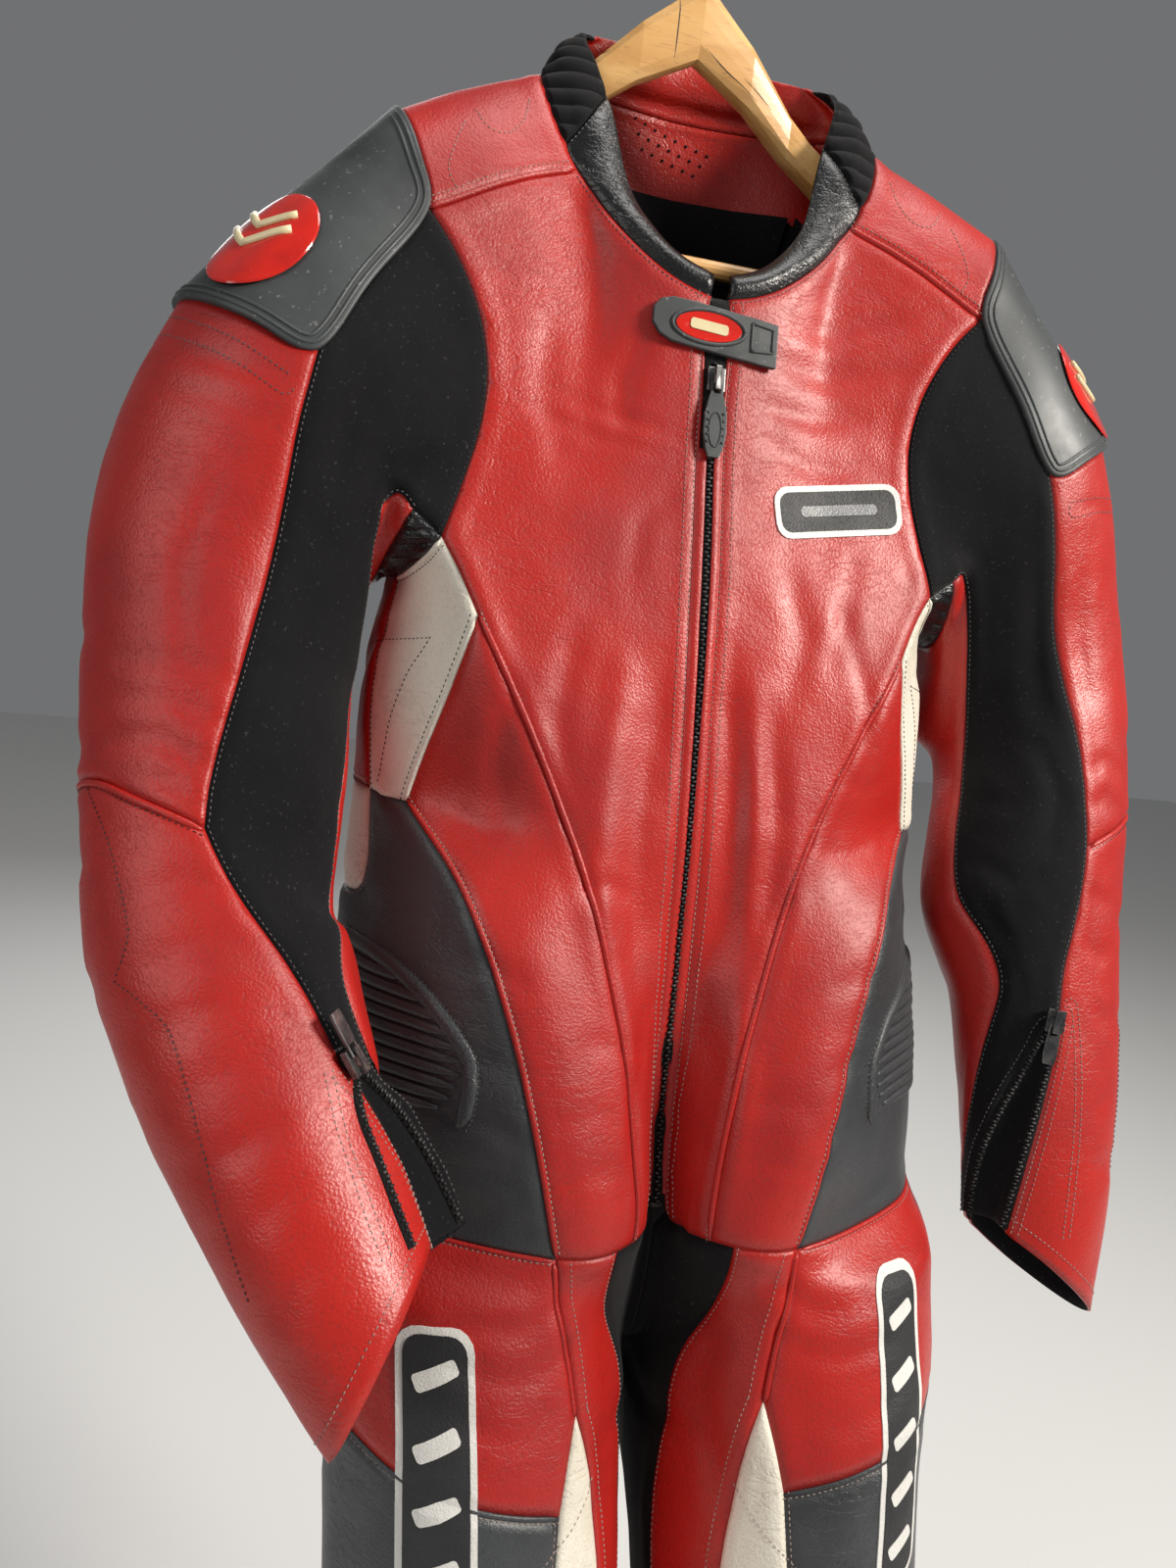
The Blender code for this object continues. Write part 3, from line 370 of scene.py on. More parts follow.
def addUnevenness():
    spots, facing = readSurface()
    rise = np.empty(len(spots))
    for i, p in enumerate(spots.tolist()):
        v = Vector(p)
        rise[i] = 0.0016 * noise.noise(v * 9.0) + 0.0008 * noise.noise(v * 23.0 + Vector((3, 1, 7))) \
            + 0.00035 * noise.noise(v * 60.0)
    writeSurface(spots + facing * rise[:, None])


cornerEdge = np.empty(len(cloth.loops), dtype=np.int32)
cloth.loops.foreach_get("edge_index", cornerEdge)
cornerEdge = cornerEdge.reshape(-1, 4)
edgeEnds = np.empty(len(cloth.edges) * 2, dtype=np.int32)
cloth.edges.foreach_get("vertices", edgeEnds)
edgeEnds = edgeEnds.reshape(-1, 2)
edgeFaces = [[] for e in cloth.edges]
for face, around in enumerate(cornerEdge.tolist()):
    for e in around:
        edgeFaces[e].append(face)
seams = {}   # pair of panels, or a panel and -1 at a hem: its edges
for e, faces in enumerate(edgeFaces):
    pair = {int(facePanel[f]) for f in faces}
    if len(faces) == 1:
        pair.add(-1)
    if len(pair) == 2:
        seams.setdefault(tuple(sorted(pair)), []).append(e)


# evens out the lines where cut pieces meet, and carries the cloth beside them along
def evenSeams():
    spots, _ = readSurface()
    old = spots.copy()
    tree = BVHTree.FromPolygons(spots.tolist(), cornerVertex.tolist())
    links = {}
    for edges in seams.values():
        for e in edges:
            a, b = edgeEnds[e].tolist()
            links.setdefault(a, []).append(b)
            links.setdefault(b, []).append(a)
    middle = np.array([v for v, near in links.items() if len(near) == 2])
    near = np.array([links[v] for v in middle.tolist()])
    for step in range(24):
        spots[middle] = 0.5 * spots[middle] + 0.25 * (spots[near[:, 0]] + spots[near[:, 1]])
    shift = spots - old
    held = np.zeros(len(spots), dtype=bool)
    held[list(links)] = True
    count = np.bincount(edgeEnds.ravel(), minlength=len(spots))[:, None]
    for step in range(10):
        total = np.zeros_like(shift)
        np.add.at(total, edgeEnds[:, 0], shift[edgeEnds[:, 1]])
        np.add.at(total, edgeEnds[:, 1], shift[edgeEnds[:, 0]])
        shift = np.where(held[:, None], shift, total / count)
    spots = old + shift
    for i in np.nonzero(np.linalg.norm(shift, axis=1) > 1e-4)[0].tolist():
        spots[i] = tree.find_nearest(spots[i].tolist())[0]
    writeSurface(spots)


creases = [
    # neck and chest, in front
    ("torso", "front", 1.8, 10, (-48, -30), (-62, -60), (-60, -95)),
    ("torso", "front", 0.9, 7, (-20, -92), (-60, -84), (-105, -76)),
    ("torso", "front", 0.7, 6, (-30, -104), (-78, -99), (-128, -84)),
    ("torso", "front", 1.0, 9, (-25, -128), (-45, -150), (-50, -190)),
    ("torso", "front", 1.3, 12, (-108, -20), (-112, -70), (-100, -120)),
    ("torso", "front", 2.2, 11, (38, -30), (85, -36), (140, -22)),
    ("torso", "front", 1.8, 10, (52, -8), (95, -4), (138, 12)),
    ("torso", "front", 1.4, 9, (30, -62), (75, -66), (120, -58)),
    ("torso", "front", 1.2, 9, (45, -90), (80, -100), (128, -92)),
    ("torso", "front", 1.6, 13, (60, -165), (72, -210), (60, -262)),
    ("torso", "front", 1.2, 10, (110, -150), (104, -190), (88, -230)),
    # long soft falls of the front
    ("torso", "front", 2.6, 14, (16, -215), (26, -300), (30, -375), (22, -430)),
    ("torso", "front", 2.2, 13, (50, -262), (58, -330), (52, -400)),
    ("torso", "front", -2.0, 12, (38, -240), (42, -310), (40, -390)),
    ("torso", "front", 2.4, 14, (-24, -240), (-36, -330), (-32, -420), (-22, -480)),
    ("torso", "front", -2.2, 14, (-50, -230), (-62, -330), (-58, -440)),
    ("torso", "front", 1.8, 12, (-82, -215), (-92, -270), (-84, -340)),
    ("torso", "front", 2.0, 11, (12, -420), (20, -480), (16, -540)),
    ("torso", "front", -1.6, 11, (36, -420), (40, -490), (34, -550)),
    ("torso", "front", 1.6, 10, (-16, -440), (-30, -500), (-34, -560)),
    ("torso", "front", 1.1, 8, (-38, -380), (-56, -372), (-76, -378)),
    ("torso", "front", 1.0, 7, (-40, -470), (-58, -462), (-78, -468)),
    ("torso", "front", 0.9, 6, (-44, -505), (-62, -500), (-86, -507)),
    ("torso", "front", 1.2, 7, (-36, -540), (-60, -534), (-90, -541)),
    ("torso", "front", 1.1, 7, (42, -500), (62, -494), (84, -500)),
    ("torso", "front", 1.2, 7, (40, -535), (64, -530), (92, -538)),
    ("torso", "front", 1.3, 9, (96, -180), (118, -240), (124, -300)),
    ("torso", "front", 1.5, 10, (-120, -250), (-128, -300), (-118, -350)),
    ("torso", "front", 1.0, 7, (105, -300), (125, -306), (148, -298)),
    ("torso", "front", 1.0, 7, (92, -345), (115, -350), (142, -344)),
    ("torso", "front", 1.1, 7, (-110, -340), (-130, -348), (-152, -340)),
    # waist and flanks
    ("torso", "front", 1.6, 9, (-104, -430), (-128, -420), (-160, -428)),
    ("torso", "front", 1.4, 8, (-100, -480), (-124, -474), (-146, -482)),
    ("torso", "front", 1.7, 9, (-98, -520), (-124, -510), (-156, -520)),
    ("torso", "front", 1.2, 7, (-96, -548), (-118, -540), (-150, -546)),
    ("torso", "front", 1.6, 9, (92, -428), (116, -420), (146, -430)),
    ("torso", "front", 1.5, 8, (88, -478), (112, -472), (136, -480)),
    ("torso", "front", 1.8, 9, (84, -518), (112, -510), (150, -520)),
    ("torso", "left", 2.0, 11, (-40, -420), (10, -408), (55, -424)),
    ("torso", "left", 1.8, 10, (-55, -470), (5, -462), (50, -478)),
    ("torso", "left", 2.0, 11, (-60, -530), (-10, -520), (40, -538)),
    ("torso", "right", 2.0, 11, (-38, -414), (12, -404), (52, -418)),
    ("torso", "right", 1.7, 10, (-50, -466), (0, -470), (48, -462)),
    ("torso", "right", 2.1, 11, (-58, -524), (-6, -514), (42, -530)),
    ("torso", "left", 1.6, 10, (-20, -215), (25, -240), (60, -280)),
    ("torso", "right", 1.6, 10, (-22, -220), (22, -244), (58, -288)),
    # back
    ("torso", "back", 2.2, 14, (-120, 10), (-70, -20), (-20, -30)),
    ("torso", "back", 2.0, 14, (125, 5), (72, -24), (24, -32)),
    ("torso", "back", 1.8, 12, (-150, -60), (-105, -90), (-60, -100)),
    ("torso", "back", 1.8, 12, (150, -66), (108, -92), (58, -108)),
    ("torso", "back", 2.4, 15, (-30, -80), (-38, -170), (-26, -260)),
    ("torso", "back", 2.2, 15, (36, -90), (44, -180), (30, -280)),
    ("torso", "back", 2.4, 12, (-150, -300), (-80, -318), (-10, -306)),
    ("torso", "back", 2.0, 11, (10, -330), (80, -344), (150, -330)),
    ("torso", "back", 1.8, 10, (-130, -350), (-70, -362), (-6, -352)),
    ("torso", "back", 2.2, 12, (-110, -470), (-50, -486), (20, -478)),
    ("torso", "back", 1.7, 10, (110, -462), (60, -476), (-10, -470)),
    ("torso", "back", 1.9, 11, (-100, -530), (-60, -560), (-20, -600)),
    ("torso", "back", 1.9, 11, (100, -526), (62, -560), (22, -600)),
    # wearer's right sleeve
    ("armR", "front", 1.1, 8, (-262, -98), (-300, -92), (-336, -84)),
    ("armR", "front", 0.9, 7, (-270, -122), (-308, -112), (-345, -108)),
    ("armR", "front", 1.4, 11, (-262, -160), (-276, -215), (-268, -265)),
    ("armR", "front", 1.1, 9, (-300, -150), (-316, -205), (-312, -260)),
    ("armR", "front", 1.2, 8, (-282, -268), (-312, -258), (-352, -262)),
    ("armR", "front", 1.5, 8, (-284, -292), (-314, -280), (-356, -284)),
    ("armR", "front", 1.8, 9, (-290, -316), (-318, -300), (-360, -306)),
    ("armR", "front", 1.3, 7, (-292, -334), (-322, -322), (-356, -330)),
    ("armR", "front", 1.6, 8, (-276, -372), (-304, -372), (-340, -390)),
    ("armR", "front", 1.5, 8, (-268, -396), (-296, -402), (-330, -420)),
    ("armR", "front", 1.8, 9, (-258, -420), (-290, -432), (-324, -452)),
    ("armR", "front", 1.3, 7, (-252, -446), (-282, -462), (-312, -484)),
    ("armR", "front", 1.4, 8, (-240, -474), (-268, -492), (-296, -512)),
    ("armR", "front", 1.1, 7, (-232, -500), (-254, -522), (-280, -540)),
    ("armR", "front", 1.2, 8, (-216, -520), (-236, -552), (-258, -572)),
    ("armR", "front", 1.0, 7, (-205, -560), (-222, -578), (-240, -590)),
    ("armR", "front", 1.6, 10, (-205, -70), (-230, -110), (-236, -160)),
    ("armR", "front", 1.4, 10, (-180, -120), (-200, -150), (-205, -190)),
    ("armR", "front", 1.3, 9, (-212, -330), (-232, -350), (-252, -342)),
    ("armR", "front", 1.3, 9, (-222, -376), (-240, -390), (-258, -380)),
    ("armR", "right", 1.6, 10, (-40, -250), (0, -262), (50, -244)),
    ("armR", "right", 2.0, 10, (-60, -312), (-20, -330), (40, -300)),
    ("armR", "right", 1.8, 10, (-90, -372), (-50, -392), (10, -372)),
    ("armR", "right", 1.6, 10, (-120, -430), (-80, -458), (-40, -440)),
    ("armR", "right", 1.6, 10, (-150, -500), (-120, -520), (-90, -500)),
    ("armR", "back", 1.8, 11, (-330, -150), (-290, -180), (-240, -170)),
    ("armR", "back", 2.0, 11, (-340, -290), (-290, -310), (-240, -296)),
    ("armR", "back", 2.2, 11, (-330, -350), (-280, -372), (-236, -352)),
    ("armR", "back", 1.8, 10, (-300, -440), (-250, -452), (-210, -430)),
    # wearer's left sleeve
    ("armL", "front", 1.0, 7, (268, -100), (292, -94), (318, -104)),
    ("armL", "front", 1.3, 10, (286, -140), (292, -190), (302, -240)),
    ("armL", "front", 1.4, 8, (298, -280), (318, -272), (336, -284)),
    ("armL", "front", 1.6, 8, (300, -306), (318, -298), (338, -312)),
    ("armL", "front", 1.6, 8, (302, -362), (318, -372), (336, -368)),
    ("armL", "front", 1.4, 8, (296, -396), (314, -408), (332, -402)),
    ("armL", "front", 1.2, 8, (304, -440), (316, -450), (330, -446)),
    ("armL", "front", 1.6, 11, (252, -150), (262, -210), (270, -260)),
    ("armL", "front", 1.8, 10, (262, -262), (276, -300), (268, -340)),
    ("armL", "front", 1.3, 9, (214, -300), (232, -312), (250, -306)),
    ("armL", "front", 1.3, 9, (226, -352), (246, -362), (266, -354)),
    ("armL", "front", 1.8, 9, (226, -378), (238, -400), (244, -430)),
    ("armL", "front", 1.2, 8, (300, -540), (316, -552), (330, -548)),
    ("armL", "front", 1.0, 7, (296, -500), (312, -508), (328, -504)),
    ("armL", "left", 1.6, 10, (-40, -256), (0, -268), (50, -250)),
    ("armL", "left", 2.0, 10, (-50, -318), (-8, -336), (50, -312)),
    ("armL", "left", 1.8, 10, (-80, -384), (-36, -400), (20, -380)),
    ("armL", "left", 1.6, 10, (-110, -446), (-70, -466), (-20, -446)),
    ("armL", "left", 1.4, 9, (-150, -540), (-112, -556), (-70, -540)),
    ("armL", "back", 1.8, 11, (330, -156), (290, -184), (246, -170)),
    ("armL", "back", 2.0, 11, (340, -296), (296, -316), (240, -300)),
    ("armL", "back", 2.2, 11, (330, -366), (284, -382), (236, -360)),
    ("armL", "back", 1.8, 10, (330, -456), (280, -470), (240, -450)),
    # legs
    ("legs", "front", 1.8, 10, (-60, -602), (-96, -622), (-150, -614)),
    ("legs", "front", 1.3, 8, (-64, -640), (-100, -648), (-146, -636)),
    ("legs", "front", 1.1, 8, (-70, -672), (-104, -676), (-140, -662)),
    ("legs", "front", 1.8, 10, (58, -604), (92, -622), (146, -612)),
    ("legs", "front", 1.3, 8, (66, -640), (100, -646), (150, -640)),
    ("legs", "front", 1.2, 8, (72, -676), (110, -682), (150, -668)),
    ("legs", "front", 1.4, 10, (-38, -620), (-30, -680), (-40, -740)),
    ("legs", "front", 1.4, 10, (36, -622), (30, -690), (42, -750)),
    ("legs", "front", 1.4, 10, (-150, -760), (-110, -776), (-70, -764)),
    ("legs", "front", 1.6, 11, (150, -800), (110, -818), (66, -806)),
    ("legs", "front", 1.6, 11, (-160, -880), (-115, -900), (-60, -884)),
    ("legs", "front", 1.9, 11, (62, -960), (112, -978), (164, -962)),
    ("legs", "front", 2.0, 11, (-62, -1010), (-108, -1030), (-160, -1012)),
    ("legs", "front", 2.0, 11, (60, -1050), (108, -1068), (160, -1050)),
    ("legs", "front", 1.8, 10, (-66, -1100), (-110, -1112), (-158, -1096)),
    ("legs", "front", 2.2, 12, (-62, -1200), (-110, -1222), (-160, -1204)),
    ("legs", "front", 2.2, 12, (62, -1230), (108, -1250), (156, -1232)),
    ("legs", "front", 2.0, 10, (-70, -1290), (-108, -1304), (-150, -1290)),
    ("legs", "front", 2.0, 10, (70, -1310), (108, -1322), (148, -1308)),
    ("legs", "front", 1.8, 9, (-74, -1350), (-108, -1360), (-146, -1350)),
    ("legs", "front", 1.8, 9, (76, -1360), (110, -1370), (144, -1358)),
    ("legs", "back", 2.2, 12, (-160, -640), (-110, -662), (-50, -650)),
    ("legs", "back", 2.2, 12, (156, -646), (108, -668), (54, -652)),
    ("legs", "back", 1.8, 12, (-150, -760), (-108, -780), (-60, -766)),
    ("legs", "back", 1.8, 12, (154, -776), (110, -796), (62, -780)),
    ("legs", "back", 2.8, 11, (-156, -960), (-108, -980), (-62, -962)),
    ("legs", "back", 2.6, 11, (156, -968), (106, -990), (60, -970)),
    ("legs", "back", 2.6, 10, (-150, -1000), (-108, -1016), (-66, -1004)),
    ("legs", "back", 2.4, 10, (150, -1010), (108, -1028), (66, -1012)),
    ("legs", "back", 2.0, 12, (-150, -1180), (-108, -1200), (-64, -1184)),
    ("legs", "back", 2.0, 12, (152, -1200), (108, -1220), (64, -1204)),
    ("legs", "left", 1.8, 12, (-180, -700), (-110, -720), (-60, -700)),
    ("legs", "left", 2.0, 12, (-220, -1000), (-150, -1020), (-100, -1000)),
    ("legs", "left", 2.0, 12, (-180, -1240), (-120, -1260), (-70, -1240)),
    ("legs", "right", 1.8, 12, (-184, -704), (-116, -726), (-62, -706)),
    ("legs", "right", 2.0, 12, (-222, -1010), (-154, -1028), (-102, -1008)),
    ("legs", "right", 2.0, 12, (-184, -1230), (-124, -1250), (-72, -1232)),
]


# draws the cloth down along every seam, and lets it swell a little beside it
def sinkSeams():
    spots, facing = readSurface()
    onSeam = {v for pair, edges in seams.items() if pair[0] >= 0 for e in edges for v in edgeEnds[e].tolist()}
    tree = KDTree(len(onSeam))
    for v in onSeam:
        tree.insert(spots[v], v)
    tree.balance()
    away = np.array([tree.find(p)[2] for p in spots.tolist()]) * 1000
    rise = -0.9 * np.exp(-(away / 2.2) ** 2) + 0.55 * np.exp(-((away - 8.0) / 4.5) ** 2)
    writeSurface(spots + facing * rise[:, None] * 0.001)


evenSeams()
addUnevenness()
addCreases(creases)
sinkSeams()
print("creases and seams are in the cloth:", len(creases), "creases")

# cut sizes: flat width and length of each panel, and its area
cuts = {
    "armpit_rib": (.045, .150, .0034), "back_panel": (.460, .500, .198), "collar_back": (.235, .045, .0079),
    "collar_front": (.030, .155, .0042), "collar_rib": (.035, .105, .0031), "cuff_gusset": (.035, .147, .0041),
    "forearm": (.300, .355, .082), "front_panel": (.190, .670, .0667), "inner_leg": (.190, .500, .0627),
    "lower_leg": (.440, .335, .1432), "lumbar_band": (.520, .085, .0426), "main_zip": (.013, .600, .0077),
    "seat_panel": (.350, .185, .0614), "side_front": (.160, .400, .0265), "sleeve_inner": (.100, .470, .0317),
    "sleeve_stretch": (.140, .630, .0391), "thigh_back": (.210, .500, .068), "thigh_front": (.170, .310, .0345),
    "thigh_inner": (.120, .500, .0246), "thigh_side": (.260, .420, .0906), "thigh_wedge": (.090, .410, .0199),
    "underarm": (.085, .170, .0094), "upper_sleeve": (.320, .420, .100), "waist_side": (.270, .250, .0541),
    "yoke": (.150, .160, .0166), "shoulder_cup": (.200, .240, .030),
}
slots = {
    "white_leather": ("underarm", "lumbar_band", "thigh_wedge"),
    "grey_leather": ("waist_side", "thigh_side"),
    "black_leather": ("collar_front", "armpit_rib"),
    "black_stretch": ("collar_rib", "sleeve_stretch", "cuff_gusset", "inner_leg"),
    "black_zip": ("main_zip",),
}


def slotOf(name):
    for slot, members in slots.items():
        if plainName(name) in members:
            return slot
    return "red_leather"


# shader groups shared by the finishes
def makeGroup(name, inputs, outputs):
    group = bpy.data.node_groups.new(name, "ShaderNodeTree")
    for label, kind, value in inputs:
        socket = group.interface.new_socket(label, in_out="INPUT", socket_type=kind)
        if value is not None:
            socket.default_value = value
    for label, kind in outputs:
        group.interface.new_socket(label, in_out="OUTPUT", socket_type=kind)
    start = group.nodes.new("NodeGroupInput")
    end = group.nodes.new("NodeGroupOutput")
    return group, start, end


def addNode(tree, kind, links=(), **settings):
    made = tree.nodes.new("ShaderNode" + kind)
    for key, value in settings.items():
        setattr(made, key, value)
    for socket, value in links:
        if hasattr(value, "is_linked"):
            tree.links.new(value, made.inputs[socket])
        else:
            made.inputs[socket].default_value = value
    return made


def mathNode(tree, what, a, b=None):
    links = [(0, a)] if b is None else [(0, a), (1, b)]
    return addNode(tree, "Math", links, operation=what).outputs[0]


def spread(tree, value, low, high, toLow=0.0, toHigh=1.0):
    links = [("Value", value), ("From Min", low), ("From Max", high), ("To Min", toLow), ("To Max", toHigh)]
    return addNode(tree, "MapRange", links).outputs["Result"]


# pebbled skin: cells of a few tenths of a millimetre, pulled unevenly
grainGroup, start, end = makeGroup(
    "leather grain", [("Vector", "NodeSocketVector", None), ("Size", "NodeSocketFloat", 900.0)],
    [("Height", "NodeSocketFloat"), ("Pores", "NodeSocketFloat")])
bend = addNode(grainGroup, "TexNoise", [("Vector", start.outputs["Vector"]), ("Scale", 55.0), ("Detail", 2.0)])
pull = addNode(grainGroup, "VectorMath", [(0, bend.outputs["Color"]), (1, (0.006, 0.006, 0.006))],
               operation="MULTIPLY")
where = addNode(grainGroup, "VectorMath", [(0, start.outputs["Vector"]), (1, pull.outputs[0])], operation="ADD")
cells = addNode(grainGroup, "TexVoronoi", [("Vector", where.outputs[0]), ("Scale", start.outputs["Size"])],
                feature="SMOOTH_F1")
fine = addNode(grainGroup, "TexNoise", [("Vector", where.outputs[0]), ("Scale", 2600.0), ("Detail", 1.0)])
body = mathNode(grainGroup, "SUBTRACT", 1.0, cells.outputs["Distance"])
grainGroup.links.new(mathNode(grainGroup, "ADD", body, mathNode(grainGroup, "MULTIPLY", fine.outputs["Fac"], 0.25)),
                     end.inputs["Height"])
grainGroup.links.new(spread(grainGroup, cells.outputs["Distance"], 0.45, 0.85), end.inputs["Pores"])

# fine wrinkle lines, long and shallow, gathered in patches; the second output is a mask of painted shade for their
# troughs
wrinkleGroup, start, end = makeGroup(
    "skin wrinkles", [("Vector", "NodeSocketVector", None), ("Size", "NodeSocketFloat", 45.0)],
    [("Height", "NodeSocketFloat"), ("Lines", "NodeSocketFloat")])
squeeze = addNode(wrinkleGroup, "Mapping", [("Vector", start.outputs["Vector"]), ("Scale", (1.0, 1.0, 2.6))])
line = addNode(wrinkleGroup, "TexNoise", [("Vector", squeeze.outputs[0]), ("Scale", start.outputs["Size"]),
                                          ("Detail", 4.0), ("Distortion", 0.9)])
away = mathNode(wrinkleGroup, "ABSOLUTE", mathNode(wrinkleGroup, "SUBTRACT", line.outputs["Fac"], 0.5))
troughMask = spread(wrinkleGroup, away, 0.0, 0.045, 1.0, 0.0)
patch = addNode(wrinkleGroup, "TexNoise", [("Vector", start.outputs["Vector"]), ("Scale", 11.0), ("Detail", 2.0)])
troughMask = mathNode(wrinkleGroup, "MULTIPLY", troughMask, spread(wrinkleGroup, patch.outputs["Fac"], 0.42, 0.66))
wrinkleGroup.links.new(troughMask, end.inputs["Lines"])
wrinkleGroup.links.new(mathNode(wrinkleGroup, "MULTIPLY", troughMask, -1.0), end.inputs["Height"])

# rubbed and soiled patches
wearGroup, start, end = makeGroup(
    "wear", [("Vector", "NodeSocketVector", None), ("Size", "NodeSocketFloat", 8.0)],
    [("Rubbed", "NodeSocketFloat"), ("Soil", "NodeSocketFloat"), ("Scuffs", "NodeSocketFloat")])
broad = addNode(wearGroup, "TexNoise", [("Vector", start.outputs["Vector"]), ("Scale", start.outputs["Size"]),
                                        ("Detail", 5.0), ("Roughness", 0.6)])
wearGroup.links.new(spread(wearGroup, broad.outputs["Fac"], 0.42, 0.70), end.inputs["Rubbed"])
wearGroup.links.new(spread(wearGroup, broad.outputs["Fac"], 0.52, 0.30), end.inputs["Soil"])
speck = addNode(wearGroup, "TexNoise", [("Vector", start.outputs["Vector"]), ("Scale", 260.0), ("Detail", 3.0)])
wearGroup.links.new(spread(wearGroup, speck.outputs["Fac"], 0.66, 0.72), end.inputs["Scuffs"])

# two crossing sets of threads
weaveGroup, start, end = makeGroup(
    "weave", [("Vector", "NodeSocketVector", None), ("Threads", "NodeSocketFloat", 900.0)],
    [("Height", "NodeSocketFloat"), ("Lint", "NodeSocketFloat")])
warp = addNode(weaveGroup, "TexWave", [("Vector", start.outputs["Vector"]), ("Scale", start.outputs["Threads"]),
                                       ("Distortion", 1.2), ("Detail", 1.0)], bands_direction="Z")
weft = addNode(weaveGroup, "TexWave", [("Vector", start.outputs["Vector"]), ("Scale", start.outputs["Threads"]),
                                       ("Distortion", 1.2), ("Detail", 1.0)], bands_direction="DIAGONAL")
weaveGroup.links.new(mathNode(weaveGroup, "MULTIPLY", warp.outputs["Fac"], weft.outputs["Fac"]),
                     end.inputs["Height"])
lint = addNode(weaveGroup, "TexNoise", [("Vector", start.outputs["Vector"]), ("Scale", 420.0), ("Detail", 4.0)])
weaveGroup.links.new(spread(weaveGroup, lint.outputs["Fac"], 0.64, 0.74), end.inputs["Lint"])


def useGroup(tree, group, vector, **values):
    made = tree.nodes.new("ShaderNodeGroup")
    made.node_tree = group
    tree.links.new(vector, made.inputs["Vector"])
    for key, value in values.items():
        made.inputs[key].default_value = value
    return made


def mixColour(tree, factor, one, other):
    links = [("Factor", factor), ("A", one), ("B", other)]
    made = tree.nodes.new("ShaderNodeMix")
    made.data_type = "RGBA"
    for socket, index in (("Factor", 0), ("A", 6), ("B", 7)):
        value = dict(links)[socket]
        if hasattr(value, "is_linked"):
            tree.links.new(value, made.inputs[index])
        elif socket == "Factor":
            made.inputs[index].default_value = value
        else:
            made.inputs[index].default_value = (*value, 1)
    return made.outputs[2]


# stacks bump nodes: each step is height, distance in metres and strength
def bumps(tree, shader, steps):
    last = None
    for height, distance, strength in steps:
        made = addNode(tree, "Bump", [("Height", height), ("Distance", distance), ("Strength", strength)])
        if last:
            tree.links.new(last.outputs[0], made.inputs["Normal"])
        last = made
    tree.links.new(last.outputs[0], shader.inputs["Normal"])


def newLook(name):
    made = bpy.data.materials.new(name)
    made.use_nodes = True
    shader = made.node_tree.nodes["Principled BSDF"]
    coord = made.node_tree.nodes.new("ShaderNodeTexCoord").outputs["Object"]
    return made, made.node_tree, shader, coord


# wrinkles scales both the wrinkle bump and the painted shade in the wrinkle troughs
def makeLeather(name, base, dark, pale, rough, grain, coat=0.0, wrinkles=1.0, patches=0.6):
    made, tree, shader, coord = newLook(name)
    grainy = useGroup(tree, grainGroup, coord, Size=grain)
    lines = useGroup(tree, wrinkleGroup, coord)
    worn = useGroup(tree, wearGroup, coord)
    colour = mixColour(tree, mathNode(tree, "MULTIPLY", worn.outputs["Soil"], patches), base, dark)
    colour = mixColour(tree, mathNode(tree, "MULTIPLY", worn.outputs["Rubbed"], 0.45), colour, pale)
    colour = mixColour(tree, mathNode(tree, "MULTIPLY", grainy.outputs["Pores"], 0.35), colour, dark)
    # painted shade: the colour is darkened along the wrinkle troughs
    colour = mixColour(tree, mathNode(tree, "MULTIPLY", lines.outputs["Lines"], 0.35 * wrinkles), colour, dark)
    tree.links.new(colour, shader.inputs["Base Color"])
    shine = spread(tree, worn.outputs["Rubbed"], 0.0, 1.0, rough + 0.07, rough - 0.07)
    shine = mathNode(tree, "ADD", shine, mathNode(tree, "MULTIPLY", grainy.outputs["Pores"], 0.15))
    tree.links.new(shine, shader.inputs["Roughness"])
    shader.inputs["Coat Weight"].default_value = coat
    shader.inputs["Coat Roughness"].default_value = 0.28
    bumps(tree, shader, [(lines.outputs["Height"], 0.0007, 0.55 * wrinkles),
                         (grainy.outputs["Height"], 0.00042, 0.6)])
    return made


def makeStretch(name, base, pale, threads, rough=0.85):
    made, tree, shader, coord = newLook(name)
    woven = useGroup(tree, weaveGroup, coord, Threads=threads)
    worn = useGroup(tree, wearGroup, coord, Size=14.0)
    colour = mixColour(tree, mathNode(tree, "MULTIPLY", worn.outputs["Rubbed"], 0.5), base, pale)
    colour = mixColour(tree, mathNode(tree, "MULTIPLY", woven.outputs["Lint"], 0.25), colour, (0.12, 0.12, 0.12))
    tree.links.new(colour, shader.inputs["Base Color"])
    shader.inputs["Roughness"].default_value = rough
    shader.inputs["Specular IOR Level"].default_value = 0.16
    shader.inputs["Sheen Weight"].default_value = 0.06
    shader.inputs["Sheen Roughness"].default_value = 0.5
    bumps(tree, shader, [(woven.outputs["Height"], 0.00025, 0.5)])
    return made


def makeRubber(name, base, pale, rough):
    made, tree, shader, coord = newLook(name)
    worn = useGroup(tree, wearGroup, coord, Size=16.0)
    colour = mixColour(tree, mathNode(tree, "MULTIPLY", worn.outputs["Rubbed"], 0.7), base, pale)
    colour = mixColour(tree, mathNode(tree, "MULTIPLY", worn.outputs["Scuffs"], 0.5), colour, (0.25, 0.25, 0.24))
    tree.links.new(colour, shader.inputs["Base Color"])
    tree.links.new(spread(tree, worn.outputs["Rubbed"], 0.0, 1.0, rough + 0.10, rough - 0.06),
                   shader.inputs["Roughness"])
    fine = addNode(tree, "TexNoise", [("Vector", coord), ("Scale", 1400.0), ("Detail", 2.0)])
    bumps(tree, shader, [(fine.outputs["Fac"], 0.00008, 0.5)])
    return made


